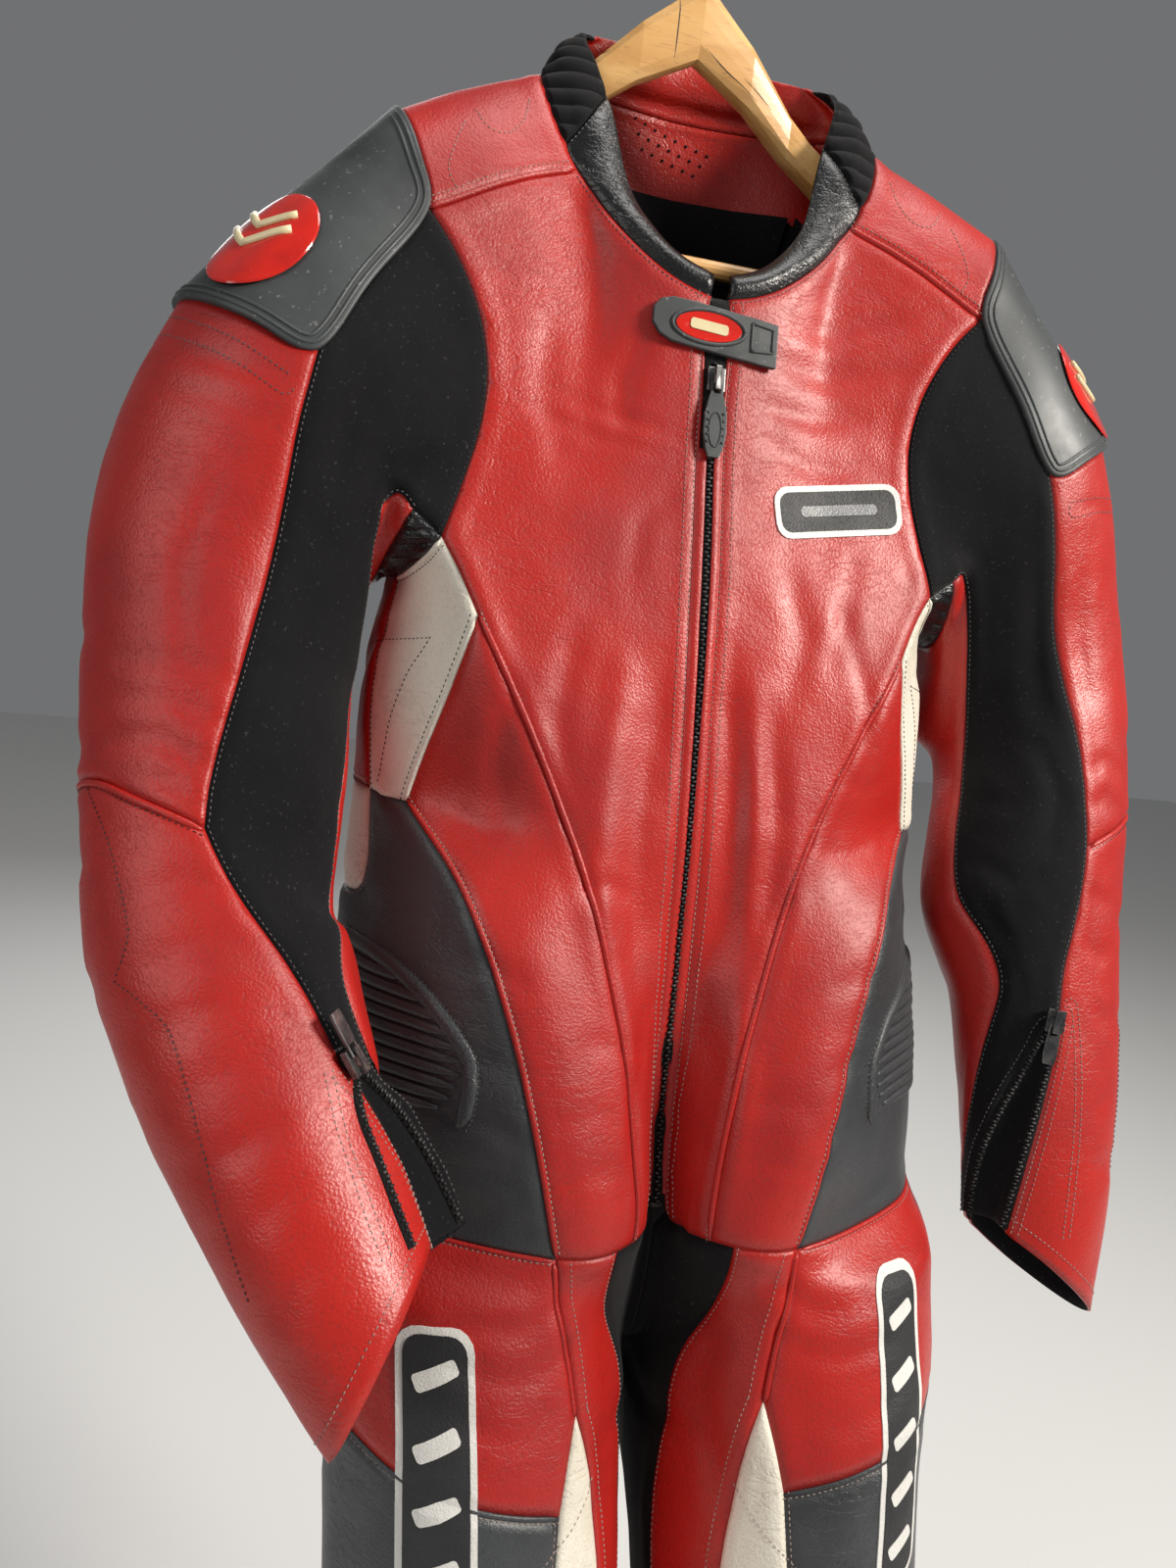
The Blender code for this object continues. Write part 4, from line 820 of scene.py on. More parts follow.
def makeGloss(name, base, deep, rough, coat):
    made, tree, shader, coord = newLook(name)
    worn = useGroup(tree, wearGroup, coord, Size=30.0)
    colour = mixColour(tree, mathNode(tree, "MULTIPLY", worn.outputs["Soil"], 0.5), base, deep)
    tree.links.new(colour, shader.inputs["Base Color"])
    tree.links.new(spread(tree, worn.outputs["Scuffs"], 0.0, 1.0, rough, rough + 0.25), shader.inputs["Roughness"])
    shader.inputs["Coat Weight"].default_value = coat
    shader.inputs["Coat Roughness"].default_value = 0.1
    return made


def makeMetal(name, base, worn, rough, metallic=1.0):
    made, tree, shader, coord = newLook(name)
    rubbed = useGroup(tree, wearGroup, coord, Size=120.0)
    tree.links.new(mixColour(tree, rubbed.outputs["Rubbed"], base, worn), shader.inputs["Base Color"])
    shader.inputs["Metallic"].default_value = metallic
    tree.links.new(spread(tree, rubbed.outputs["Rubbed"], 0.0, 1.0, rough + 0.12, rough), shader.inputs["Roughness"])
    return made


def makeThread(name, base, dark):
    made, tree, shader, coord = newLook(name)
    twist = addNode(tree, "TexNoise", [("Vector", coord), ("Scale", 1500.0), ("Detail", 1.0)])
    worn = useGroup(tree, wearGroup, coord, Size=25.0)
    colour = mixColour(tree, twist.outputs["Fac"], base, dark)
    tree.links.new(mixColour(tree, mathNode(tree, "MULTIPLY", worn.outputs["Soil"], 0.6), colour, dark),
                   shader.inputs["Base Color"])
    shader.inputs["Roughness"].default_value = 0.6
    bumps(tree, shader, [(twist.outputs["Fac"], 0.0001, 0.5)])
    return made


# pine: long grain along the arms, with rings round each knot (place from the zip top, radius)
def makeWood(name, pale, warm, deep, knots):
    made, tree, shader, coord = newLook(name)
    turned = addNode(tree, "Mapping", [("Vector", coord), ("Rotation", (0.0, 0.42, 0.05)),
                                       ("Scale", (2.2, 26.0, 26.0))])
    rings = addNode(tree, "TexNoise", [("Vector", turned.outputs[0]), ("Scale", 2.2), ("Detail", 5.0),
                                       ("Distortion", 0.8)])
    fibre = addNode(tree, "TexNoise", [("Vector", turned.outputs[0]), ("Scale", 24.0), ("Detail", 3.0)])
    colour = mixColour(tree, spread(tree, rings.outputs["Fac"], 0.35, 0.68), pale, warm)
    colour = mixColour(tree, spread(tree, fibre.outputs["Fac"], 0.58, 0.75, 0.0, 0.45), colour, deep)
    for at, radius in knots:
        away = addNode(tree, "VectorMath", [(0, coord), (1, place(*at))], operation="DISTANCE").outputs["Value"]
        wobble = mathNode(tree, "MULTIPLY", rings.outputs["Fac"], radius * 0.9)
        away = mathNode(tree, "ADD", away, wobble)
        wave = mathNode(tree, "SINE", mathNode(tree, "MULTIPLY", away, 2600.0))
        near = spread(tree, away, radius * 1.5, radius * 0.9)
        colour = mixColour(tree, mathNode(tree, "MULTIPLY", near, spread(tree, wave, -1.0, 1.0, 0.25, 0.75)),
                           colour, deep)
    tree.links.new(colour, shader.inputs["Base Color"])
    tree.links.new(spread(tree, fibre.outputs["Fac"], 0.3, 0.7, 0.34, 0.48), shader.inputs["Roughness"])
    shader.inputs["Coat Weight"].default_value = 0.3
    shader.inputs["Coat Roughness"].default_value = 0.25
    bumps(tree, shader, [(fibre.outputs["Fac"], 0.0002, 0.5)])
    return made


looks = {
    "red_leather": makeLeather("red leather", (0.40, 0.009, 0.006), (0.15, 0.004, 0.004), (0.52, 0.026, 0.016),
                               0.38, 640.0, coat=0.06, wrinkles=0.5, patches=0.32),
    "white_leather": makeLeather("white leather", (0.78, 0.74, 0.63), (0.44, 0.39, 0.31), (0.84, 0.81, 0.72),
                                 0.46, 760.0, patches=0.5),
    "grey_leather": makeLeather("grey leather", (0.036, 0.040, 0.045), (0.014, 0.015, 0.017),
                                (0.070, 0.076, 0.082), 0.42, 780.0, coat=0.08),
    "black_leather": makeLeather("black leather", (0.006, 0.006, 0.007), (0.003, 0.003, 0.003),
                                 (0.014, 0.014, 0.016), 0.27, 700.0, wrinkles=1.4, patches=0.4),
    "black_stretch": makeStretch("black stretch cloth", (0.0035, 0.0035, 0.0045), (0.009, 0.009, 0.011), 620.0),
    "black_zip": makeStretch("zip tape", (0.005, 0.005, 0.005), (0.012, 0.012, 0.012), 900.0, 0.75),
    "grey_rubber": makeRubber("grey rubber", (0.032, 0.037, 0.039), (0.080, 0.090, 0.092), 0.44),
    "red_gloss": makeGloss("red gloss", (0.62, 0.016, 0.008), (0.34, 0.008, 0.006), 0.16, 0.6),
    "cream_gloss": makeGloss("cream gloss", (0.70, 0.60, 0.36), (0.52, 0.42, 0.22), 0.32, 0.2),
    "dark_metal": makeMetal("dark metal", (0.10, 0.10, 0.105), (0.34, 0.33, 0.32), 0.30),
    "teeth_black": makeMetal("black teeth", (0.020, 0.020, 0.022), (0.10, 0.10, 0.10), 0.34, 0.4),
    "steel": makeMetal("polished wire", (0.55, 0.55, 0.56), (0.68, 0.68, 0.68), 0.16),
    "light_thread": makeThread("light thread", (0.46, 0.40, 0.36), (0.22, 0.14, 0.12)),
    "dark_thread": makeThread("dark thread", (0.020, 0.016, 0.016), (0.006, 0.005, 0.005)),
    "grey_thread": makeThread("grey thread", (0.16, 0.15, 0.15), (0.05, 0.05, 0.05)),
    "pine": makeWood("varnished pine", (0.76, 0.45, 0.17), (0.60, 0.30, 0.09), (0.32, 0.13, 0.035),
                     [((-.069, .050, .148), .0075), ((.092, .055, .085), .006)]),
    "white_patch": makeLeather("patch border", (0.72, 0.71, 0.68), (0.45, 0.43, 0.38), (0.78, 0.77, 0.74),
                               0.42, 900.0, wrinkles=0.2, patches=0.3),
    "black_patch": makeLeather("patch field", (0.012, 0.012, 0.014), (0.006, 0.006, 0.006), (0.05, 0.052, 0.056),
                               0.55, 900.0, wrinkles=0.0, patches=0.1),
    "grey_patch": makeLeather("patch middle", (0.15, 0.155, 0.16), (0.06, 0.06, 0.06), (0.26, 0.26, 0.27),
                              0.36, 900.0, wrinkles=0.2, patches=0.3),
}
print("finishes are made:", len(looks))

# lines along the cloth, and what is sewn on them
spots, facing = readSurface()
suitTree = BVHTree.FromPolygons(spots.tolist(), cornerVertex.tolist())
areaFamilies = {"armL": (armPanels, "L"), "armR": (armPanels, "R"), "legL": (legPanels, "L"),
                "legR": (legPanels, "R"), "torso": (torsoPanels, "")}
areaTrees = {}
for area, (members, side) in areaFamilies.items():
    wanted = {i for i, n in enumerate(panels) if plainName(n) in members and (not side or n.endswith(side))}
    chosen = np.isin(facePanel, list(wanted))
    areaTrees[area] = BVHTree.FromPolygons(spots.tolist(), cornerVertex[chosen].tolist())


# point and normal of the cloth under a place in a flat view, in mm from the zip top
def onCloth(area, view, across, up):
    a, u, toward = (Vector(v) for v in views[view])
    begin = a * across * 0.001 + u * up * 0.001 + toward * 1.2
    begin += zipTop - toward * zipTop.dot(toward)
    hit, normal, index, distance = areaTrees[area].ray_cast(begin, -toward)
    return (hit, normal) if hit is not None else None


def withSides(points, normals):
    line = []
    for k, (p, n) in enumerate(zip(points, normals)):
        ahead = points[min(k + 1, len(points) - 1)] - points[max(k - 1, 0)]
        line.append((p, n, n.cross(ahead).normalized()))
    return line


# evenly spaced places on a smooth curve through given points
def curveThrough(points, step):
    pts = [Vector(p) for p in points]
    pts = [pts[0] * 2 - pts[1]] + pts + [pts[-1] * 2 - pts[-2]]
    made = []
    for a, b, c, d in zip(pts, pts[1:], pts[2:], pts[3:]):
        count = max(2, int((c - b).length / step))
        for k in range(count):
            t = k / count
            made.append(0.5 * ((2 * b) + (c - a) * t + (2 * a - 5 * b + 4 * c - d) * t * t
                               + (3 * b - a - 3 * c + d) * t ** 3))
    made.append(pts[-2].copy())
    return made


# line on the cloth through given places in a flat view
def drawnLine(area, view, *points, straight=False):
    if straight:
        flat = []
        for a, b in zip(points, points[1:]):
            a, b = Vector(a), Vector(b)
            count = max(2, int((b - a).length / 3))
            flat += [a.lerp(b, k / count) for k in range(count)]
        flat.append(Vector(points[-1]))
    else:
        flat = curveThrough(points, 3.0)
    found = [onCloth(area, view, p[0], p[1]) for p in flat]
    found = [f for f in found if f]
    if len(found) < 2:
        print("no cloth under the line", area, view, points[0])
        return []
    return withSides([f[0] for f in found], [f[1] for f in found])


def panelNamed(name, side):
    return name if name in panels else name + "_" + side


# lines along the seam of two panels, or along a hem, with sides pointing to the first panel
def seamLines(one, other):
    i = panels.index(one)
    j = panels.index(other) if other else -1
    edges = seams.get(tuple(sorted((i, j))), [])
    links = {}
    inner = {}
    for e in edges:
        a, b = edgeEnds[e].tolist()
        links.setdefault(a, set()).add(b)
        links.setdefault(b, set()).add(a)
        f = [f for f in edgeFaces[e] if facePanel[f] == i][0]
        inner[a] = inner[b] = Vector(spots[cornerVertex[f]].mean(axis=0))
    made = []
    while links:
        at = min(links, key=lambda v: len(links[v]))
        run = [at]
        while links.get(at):
            on = links[at].pop()
            links[on].discard(at)
            if not links[at]:
                del links[at]
            at = on
            run.append(at)
        links.pop(at, None)
        if len(run) > 2:
            line = withSides([Vector(spots[v]) for v in run], [Vector(facing[v]) for v in run])
            vote = sum((inner[v] - p).dot(s) for v, (p, n, s) in zip(run, line))
            made.append([(p, n, s if vote > 0 else -s) for p, n, s in line])
    return made


# the same line with its places a fixed distance apart
def evenly(line, pitch):
    made = []
    left = 0.0
    for (p, n, s), (q, m, r) in zip(line, line[1:]):
        length = (q - p).length
        while left < length:
            t = left / length
            made.append((p.lerp(q, t), n.lerp(m, t).normalized(), s.lerp(r, t).normalized()))
            left += pitch
        left -= length
    return made


# the line moved to its side by a distance in mm, back on the cloth
def beside(line, distance, tree=None):
    points, normals = [], []
    for p, n, s in line:
        found = (tree or suitTree).find_nearest(p + s * distance * 0.001)
        points.append(found[0])
        normals.append(found[1])
    moved = withSides(points, normals)
    return [(p, n, s if s.dot(old[2]) > 0 else -s) for (p, n, s), old in zip(moved, line)]


threads = {}   # sewing by colour and area: points and faces
thread = {"pitch": 0.0036, "long": 0.0025, "wide": 0.00075, "high": 0.00055}


def sew(colour, area, line):
    if len(line) < 2:
        return
    points, faces = threads.setdefault((colour, area), ([], []))
    for p, n, s in evenly(line, thread["pitch"]):
        ahead = s.cross(n)
        base = len(points)
        half = thread["long"] / 2
        across = s * thread["wide"] / 2
        up = n * thread["high"]
        low = p - n * 0.0003
        points.append(low - ahead * half)
        for t in (-0.55, 0.55):
            mid = p + ahead * half * t
            points += [mid - across - n * 0.0002, mid + up - across * 0.4, mid + up + across * 0.4,
                       mid + across - n * 0.0002]
        points.append(low + ahead * half)
        ends = base + 9
        for i in range(4):
            j = (i + 1) % 4
            faces.append((base, base + 1 + j, base + 1 + i))
            faces.append((base + 1 + i, base + 1 + j, base + 5 + j, base + 5 + i))
            faces.append((ends, base + 5 + i, base + 5 + j))


rolls = {}   # swept welts, ribs and tapes by look and area


# closed strip along a line; the profile is (side, up) in mm, counted round once
def sweep(look, area, line, profile, taper=0.0):
    if len(line) < 3:
        return
    points, faces = rolls.setdefault((look, area), ([], []))
    base = len(points)
    count = len(profile)
    length = len(line) - 1
    for k, (p, n, s) in enumerate(line):
        size = 1.0
        if taper:
            size = max(0.12, min(1.0, k / length / taper, (1 - k / length) / taper)) ** 0.5
        for side, up in profile:
            points.append(p + s * side * size * 0.001 + n * up * size * 0.001)
    for k in range(length):
        for i in range(count):
            j = (i + 1) % count
            a = base + k * count
            faces.append((a + i, a + j, a + count + j, a + count + i))
    faces.append(tuple(base + i for i in reversed(range(count))))
    faces.append(tuple(base + length * count + i for i in range(count)))


# rounded strip: half width and height in mm, sunk a little into the cloth
def humpProfile(half, high, sink=0.6):
    top = [(half * math.cos(a), high * math.sin(a)) for a in (math.pi * k / 6 for k in range(7))]
    return [(half, -sink)] + top + [(-half, -sink)]


def closeUp(name, points, faces, look, smooth=True):
    mesh = bpy.data.meshes.new(name)
    mesh.from_pydata([tuple(p) for p in points], [], faces)
    work = bmesh.new()
    work.from_mesh(mesh)
    bmesh.ops.recalc_face_normals(work, faces=work.faces)
    work.to_mesh(mesh)
    work.free()
    made = addObject(name, mesh)
    mesh.materials.append(looks[look])
    if smooth:
        mesh.polygons.foreach_set("use_smooth", [True] * len(mesh.polygons))
    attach(made, "suit")
    return made


topstitch = [
    # panel that carries the stitches, its neighbour, distances from the seam in mm, thread
    ("front_panel", "main_zip", (2.6, 8.8), "light"), ("front_panel", "side_front", (3.0,), "light"),
    ("side_front", "waist_side", (3.4,), "light"), ("underarm", "side_front", (4.5,), "dark"),
    ("underarm", "armpit_rib", (4.5,), "dark"), ("yoke", "front_panel", (3.0, 6.2), "light"),
    ("yoke", "back_panel", (3.0, 6.2), "light"), ("front_panel", "collar_front", (2.6,), "grey"),
    ("sleeve_stretch", "front_panel", (2.4,), "dark"), ("sleeve_stretch", "upper_sleeve", (2.4,), "grey"),
    ("sleeve_stretch", "forearm", (2.4,), "grey"), ("sleeve_stretch", "sleeve_inner", (2.4,), "grey"),
    ("forearm", "upper_sleeve", (4.0,), "dark"), ("forearm", "cuff_gusset", (5.0, 10.5), "light"),
    ("sleeve_stretch", "cuff_gusset", (7.0,), "grey"), ("forearm", None, (11.0,), "light"),
    ("forearm", "sleeve_inner", (3.0,), "light"), ("upper_sleeve", "back_panel", (3.0,), "light"),
    ("thigh_inner", "thigh_front", (9.0,), "light"), ("thigh_inner", "thigh_wedge", (9.0,), "light"),
    ("thigh_side", "thigh_front", (3.2,), "light"), ("thigh_side", "thigh_wedge", (3.0,), "light"),
    ("thigh_side", "thigh_back", (3.2, 6.4), "light"), ("thigh_front", "waist_side", (3.0,), "light"),
    ("thigh_inner", "inner_leg", (3.0,), "light"), ("thigh_back", "inner_leg", (3.0,), "light"),
    ("back_panel", "lumbar_band", (3.0, 6.2), "light"), ("seat_panel", "lumbar_band", (3.0,), "light"),
    ("seat_panel", "thigh_back", (3.2, 6.4), "light"), ("lower_leg", "thigh_side", (3.2, 6.4), "light"),
    ("lower_leg", "thigh_back", (3.2,), "light"), ("lower_leg", "inner_leg", (3.2,), "light"),
    ("lower_leg", None, (12.0,), "light"), ("waist_side", "lumbar_band", (3.2,), "light"),
    ("waist_side", "seat_panel", (3.2,), "light"), ("collar_front", "collar_rib", (2.0,), "grey"),
    ("collar_back", "back_panel", (3.0,), "light"), ("underarm", "back_panel", (3.2,), "dark"),
    ("thigh_front", "thigh_back", (3.2,), "light"),
]
welts = [
    # panel whose folded edge stands up, its neighbour, half width and height in mm
    ("front_panel", "side_front", 2.2, 1.9), ("side_front", "waist_side", 2.0, 1.6),
    ("yoke", "front_panel", 2.0, 1.6), ("underarm", "side_front", 1.8, 1.4), ("forearm", "upper_sleeve", 2.0, 1.7),
    ("front_panel", "main_zip", 1.3, 1.1), ("thigh_front", "thigh_inner", 1.8, 1.3),
    ("yoke", "back_panel", 2.0, 1.5), ("back_panel", "lumbar_band", 2.0, 1.5), ("seat_panel", "thigh_back", 2.0, 1.5),
    ("lower_leg", "thigh_side", 2.0, 1.5), ("underarm", "armpit_rib", 1.8, 1.4),
    ("thigh_front", "waist_side", 1.6, 1.2), ("thigh_side", "thigh_back", 1.8, 1.3),
    ("thigh_side", "thigh_front", 1.5, 1.1),
]


def areaOf(name):
    plain = plainName(name)
    if plain in armPanels:
        return "sleeve" + name[-1]
    return "legs" if plain in legPanels else "body"


for one, other, distances, colour in topstitch:
    for side in "LR":
        a = panelNamed(one, side)
        b = panelNamed(other, side) if other else None
        if side == "R" and a == one and b == other:
            continue
        for line in seamLines(a, b):
            line = evenly(line, 0.003)
            for d in distances:
                if len(line) * 3 > 2 * d:
                    sew(colour, areaOf(a), beside(line, d))
for one, other, half, high in welts:
    for side in "LR":
        a = panelNamed(one, side)
        b = panelNamed(other, side)
        for line in seamLines(a, b):
            line = beside(evenly(line, 0.004), half * 0.55)
            sweep(slotOf(a), areaOf(a), line, humpProfile(half, high, 1.0), taper=0.03)
# the zip's plackets: folded edges of the front panels that nearly meet over the chain
placket = {"top": -0.094, "foot": -0.578,
           "profile": ((1.8, -0.8), (1.8, 0.3), (0.6, 1.5), (-2.0, 2.3), (-4.4, 2.5), (-5.0, 2.1), (-5.0, 1.7),
                       (-4.4, 1.5), (-2.0, 1.3), (0.2, 0.2), (0.2, -0.8))}
for side in "LR":
    panel = panelNamed("front_panel", side)
    for line in seamLines(panel, "main_zip"):
        line = [row for row in evenly(line, 0.004)
                if placket["foot"] < (row[0] - zipTop).z < placket["top"]]
        sweep("red_leather", areaOf(panel), line, placket["profile"])
print("seams are welted and stitched")

# sewn lines away from the seams
sewnLines = [
    # area, view, thread, then points in mm from the zip top
    ("torso", "front", "light", (-130, 108), (-134, 92), (-144, 80), (-157, 80), (-166, 92)),
    ("torso", "front", "light", (130, 108), (134, 92), (144, 80), (157, 80), (166, 92)),
    ("torso", "front", "light", (-172, 80), (-178, 62), (-181, 46), (-176, 36)),
    ("torso", "front", "light", (172, 80), (178, 62), (181, 46), (176, 36)),
    ("torso", "right", "dark", (18, -244), (-6, -240), (-25, -236)),
    ("torso", "right", "dark", (-25, -236), (-18, -262), (-14, -296), (-12, -334)),
    ("torso", "left", "dark", (18, -244), (-6, -240), (-25, -236)),
    ("torso", "left", "dark", (-25, -236), (-18, -262), (-14, -296), (-12, -334)),
    ("armR", "front", "grey", (-336, -66), (-300, -77), (-264, -95)),
    ("armR", "front", "grey", (-340, -77), (-300, -89), (-268, -106), (-262, -101)),
    ("armL", "front", "grey", (262, -97), (290, -90), (324, -86)),
    ("armL", "front", "grey", (262, -101), (266, -107), (292, -100), (326, -95)),
    ("armR", "front", "dark", (-358, -336), (-342, -360), (-329, -392), (-327, -404), (-332, -424)),
    ("armR", "front", "dark", (-332, -426), (-318, -431), (-301, -443), (-287, -474), (-270, -520), (-252, -560)),
    ("armL", "left", "dark", (-20, -342), (-40, -366), (-56, -398), (-60, -420), (-52, -436)),
    ("armL", "left", "dark", (-52, -438), (-70, -446), (-90, -462), (-104, -500), (-118, -560)),
    ("armR", "front", "light", (-218, -458), (-211, -480), (-204, -497), (-194, -517), (-184, -537)),
    ("armR", "front", "light", (-222, -459), (-215, -481), (-207, -499), (-198, -519), (-188, -539)),
    ("armL", "front", "light", (282, -436), (290, -437), (294, -470), (294, -530), (288, -594)),
    ("armL", "front", "light", (281, -441), (286, -442), (289, -470), (289, -530), (283, -594)),
    ("torso", "back", "light", (-60, -150), (-20, -120), (20, -120), (60, -150)),
    ("torso", "back", "light", (-90, -40), (-60, -10), (-20, 0), (20, 0), (60, -10), (90, -40)),
    ("legR", "front", "light", (-140, -1010), (-110, -1024), (-80, -1010)),
    ("legL", "front", "light", (140, -1010), (110, -1024), (80, -1010)),
    ("legR", "front", "light", (-84, -745), (-60, -728), (-46, -712)),
    ("legL", "front", "light", (84, -765), (60, -745), (46, -728)),
]
for area, view, colour, *line in sewnLines:
    sew(colour, "lines", drawnLine(area, view, *line))

# stretch ribs at the waist, with a padded welt round them
waistRibs = {"rows": 10, "top": -444, "step": 7.6, "behind": -8, "half": 3.7, "high": 2.6,
             "reach": (-74, -92, -102, -108, -111, -113, -114, -114, -113, -110),
             "edge": ((-8, -434), (-48, -436), (-82, -446), (-106, -466), (-119, -492), (-119, -520))}
for view in ("left", "right"):
    for row in range(waistRibs["rows"]):
        up = waistRibs["top"] - row * waistRibs["step"]
        line = drawnLine("torso", view, (waistRibs["behind"], up), (-45, up - 1), (waistRibs["reach"][row], up + 1))
        sweep("grey_leather", "ribs", line, humpProfile(waistRibs["half"], waistRibs["high"]), taper=0.12)
    edge = drawnLine("torso", view, *waistRibs["edge"])
    sweep("grey_leather", "ribs", edge, humpProfile(5.2, 3.0), taper=0.06)
    sew("grey", "lines", beside(edge, 5.6))
    sew("grey", "lines", beside(edge, -5.6))

# zips: chain in front, and open chains at the cuffs
zips = {"pitch": 0.0026, "tooth": (2.9, 1.5, 1.5), "tape": 4.6}


def addTeeth(area, line, shift, lift=0.4):
    points, faces = rolls.setdefault(("teeth_black", area), ([], []))
    wide, deep, high = zips["tooth"]
    for k, (p, n, s) in enumerate(evenly(line, zips["pitch"])):
        ahead = s.cross(n)
        at = p + s * (shift if k % 2 else -shift) * 0.001 + n * lift * 0.001
        base = len(points)
        for a, b, c in ((-1, -1, 0), (1, -1, 0), (1, 1, 0), (-1, 1, 0), (-0.8, -0.7, 1), (0.8, -0.7, 1),
                        (0.8, 0.7, 1), (-0.8, 0.7, 1)):
            points.append(at + s * a * wide * 0.0005 + ahead * b * deep * 0.0005 + n * c * high * 0.001)
        for f in ((0, 3, 2, 1), (4, 5, 6, 7), (0, 1, 5, 4), (1, 2, 6, 5), (2, 3, 7, 6), (3, 0, 4, 7)):
            faces.append(tuple(base + i for i in f))


chain = drawnLine("torso", "front", (0, -42), (0, -200), (0, -400), (0, -582))
addTeeth("main", chain, 0.7)
for shift in (-3.4, 3.4):
    sweep("black_zip", "main", beside(chain, shift), humpProfile(1.1, 0.6), taper=0.02)
sweep("teeth_black", "main_stop", drawnLine("torso", "front", (-4, -583), (0, -583), (4, -583)),
      humpProfile(1.6, 1.8))
# the right cuff's chain is sewn into the forearm, a little inside its edge
cuffChain = drawnLine("armR", "front", (-206, -464), (-201, -482), (-192, -500), (-183, -518), (-173, -538))
sweep("black_zip", "cuffR", cuffChain, humpProfile(zips["tape"] / 2 + 0.8, 1.5, 1.0))
addTeeth("cuffR", cuffChain, 0.5, 1.3)
for side in "LR":
    for one in ("forearm_", "sleeve_stretch_"):
        if one + side == "forearm_R":
            continue
        for line in seamLines(one + side, "cuff_gusset_" + side):
            line = evenly(line, 0.003)
            sweep("black_zip", "cuff" + side, beside(line, -0.8), humpProfile(zips["tape"] / 2 + 0.8, 2.1, 1.5))
            addTeeth("cuff" + side, beside(line, -1.6), 0.5, 1.9)
print("ribs and zips are in")

# flat pieces sewn or moulded on a surface


# thin closed piece that follows a surface: outline in the flat view, heights in mm
def layPatch(name, cast, outline, low, high, look, cell=4.0):
    ring = [Vector(p) for p in outline]
    fine = []
    for a, b in zip(ring, ring[1:] + ring[:1]):
        count = max(1, round((b - a).length / (cell * 0.7)))
        fine += [a.lerp(b, k / count) for k in range(count)]
    xs = [p.x for p in fine]
    ys = [p.y for p in fine]
    inside = []
    u = min(xs) + cell / 2
    while u < max(xs):
        v = min(ys) + cell / 2
        while v < max(ys):
            q = Vector((u, v))
            near = min((q - p).length for p in fine)
            if near > cell * 0.45 and insideRing(q, fine):
                inside.append(q)
            v += cell
        u += cell
    rim = [(i, (i + 1) % len(fine)) for i in range(len(fine))]
    flat, _, faces, *_ = delaunay_2d_cdt(fine + inside, rim, [], 1, 1e-6)
    found = [cast(p.x, p.y) for p in flat]
    if any(f is None for f in found):
        print("patch", name, "hangs over an edge")
        return None
    points = [f[0] + f[1] * high * 0.001 for f in found] + [f[0] + f[1] * low * 0.001 for f in found]
    count = len(flat)
    made = [tuple(f) for f in faces] + [tuple(count + i for i in reversed(f)) for f in faces]
    used = {}
    for f in faces:
        for a, b in zip(f, list(f[1:]) + [f[0]]):
            used[(a, b)] = used.get((a, b), 0) + 1
    for a, b in used:
        if (b, a) not in used:
            made.append((b, a, count + a, count + b))
    return closeUp(name, points, made, look, smooth=False)


def insideRing(q, ring):
    inside = False
    for a, b in zip(ring, ring[1:] + ring[:1]):
        if (a.y > q.y) != (b.y > q.y) and q.x < (b.x - a.x) * (q.y - a.y) / (b.y - a.y) + a.x:
            inside = not inside
    return inside


# outline of a rounded bar, turned by degrees
def roundedBar(cx, cy, wide, high, turn, corner=0.45, steps=4):
    r = min(wide, high) * corner
    ring = []
    for k, (sx, sy) in enumerate(((1, 1), (-1, 1), (-1, -1), (1, -1))):
        for i in range(steps + 1):
            a = math.pi / 2 * (k + i / steps)
            ring.append((sx * (wide / 2 - r) + r * math.cos(a), sy * (high / 2 - r) + r * math.sin(a)))
    c, s = math.cos(math.radians(turn)), math.sin(math.radians(turn))
    return [(cx + x * c - y * s, cy + x * s + y * c) for x, y in ring]


# plain slanted bar with a pale border: middle, size and turn
chestBadge = {"at": (96, -124), "border": (96, 34), "field": (88, 26), "stripe": (58, 7), "turn": 9}


def badgeRing(part, corner):
    return roundedBar(*chestBadge["at"], *chestBadge[part], chestBadge["turn"], corner)


castChest = lambda x, z: onCloth("torso", "front", x, z)
layPatch("badge_border", castChest, badgeRing("border", 0.30), -0.4, 1.0, "white_patch")
layPatch("badge_field", castChest, badgeRing("field", 0.28), 0.8, 1.4, "black_patch")
layPatch("badge_stripe", castChest, badgeRing("stripe", 0.45), 1.2, 1.7, "grey_patch", cell=3.0)

legBands = {   # middle, size and turn of the band, on each thigh
    "R": {"at": (-143, -708), "size": (36, 168), "turn": 3},
    "L": {"at": (151, -692), "size": (28, 168), "turn": -1},
}
for side, band in legBands.items():
    castLeg = lambda u, v, area="leg" + side: onCloth(area, "front", u, v)
    (x, z), (wide, long), turn = band["at"], band["size"], band["turn"]
    layPatch("leg_border_" + side, castLeg, roundedBar(x, z, wide + 8, long + 8, turn, 0.3), -0.4, 0.8,
             "white_patch")
    layPatch("leg_field_" + side, castLeg, roundedBar(x, z, wide, long, turn, 0.3), 0.7, 1.3, "black_patch")
    for k in range(5):
        up = (k - 2) * long * 0.19
        lean = math.radians(turn)
        at = (x - up * math.sin(lean), z + up * math.cos(lean))
        layPatch(f"leg_bar_{side}{k}", castLeg, roundedBar(*at, wide * 0.72, 9, turn + 24, 0.25), 1.1, 1.7,
                 "white_patch", cell=3.0)
print("badges are sewn on")


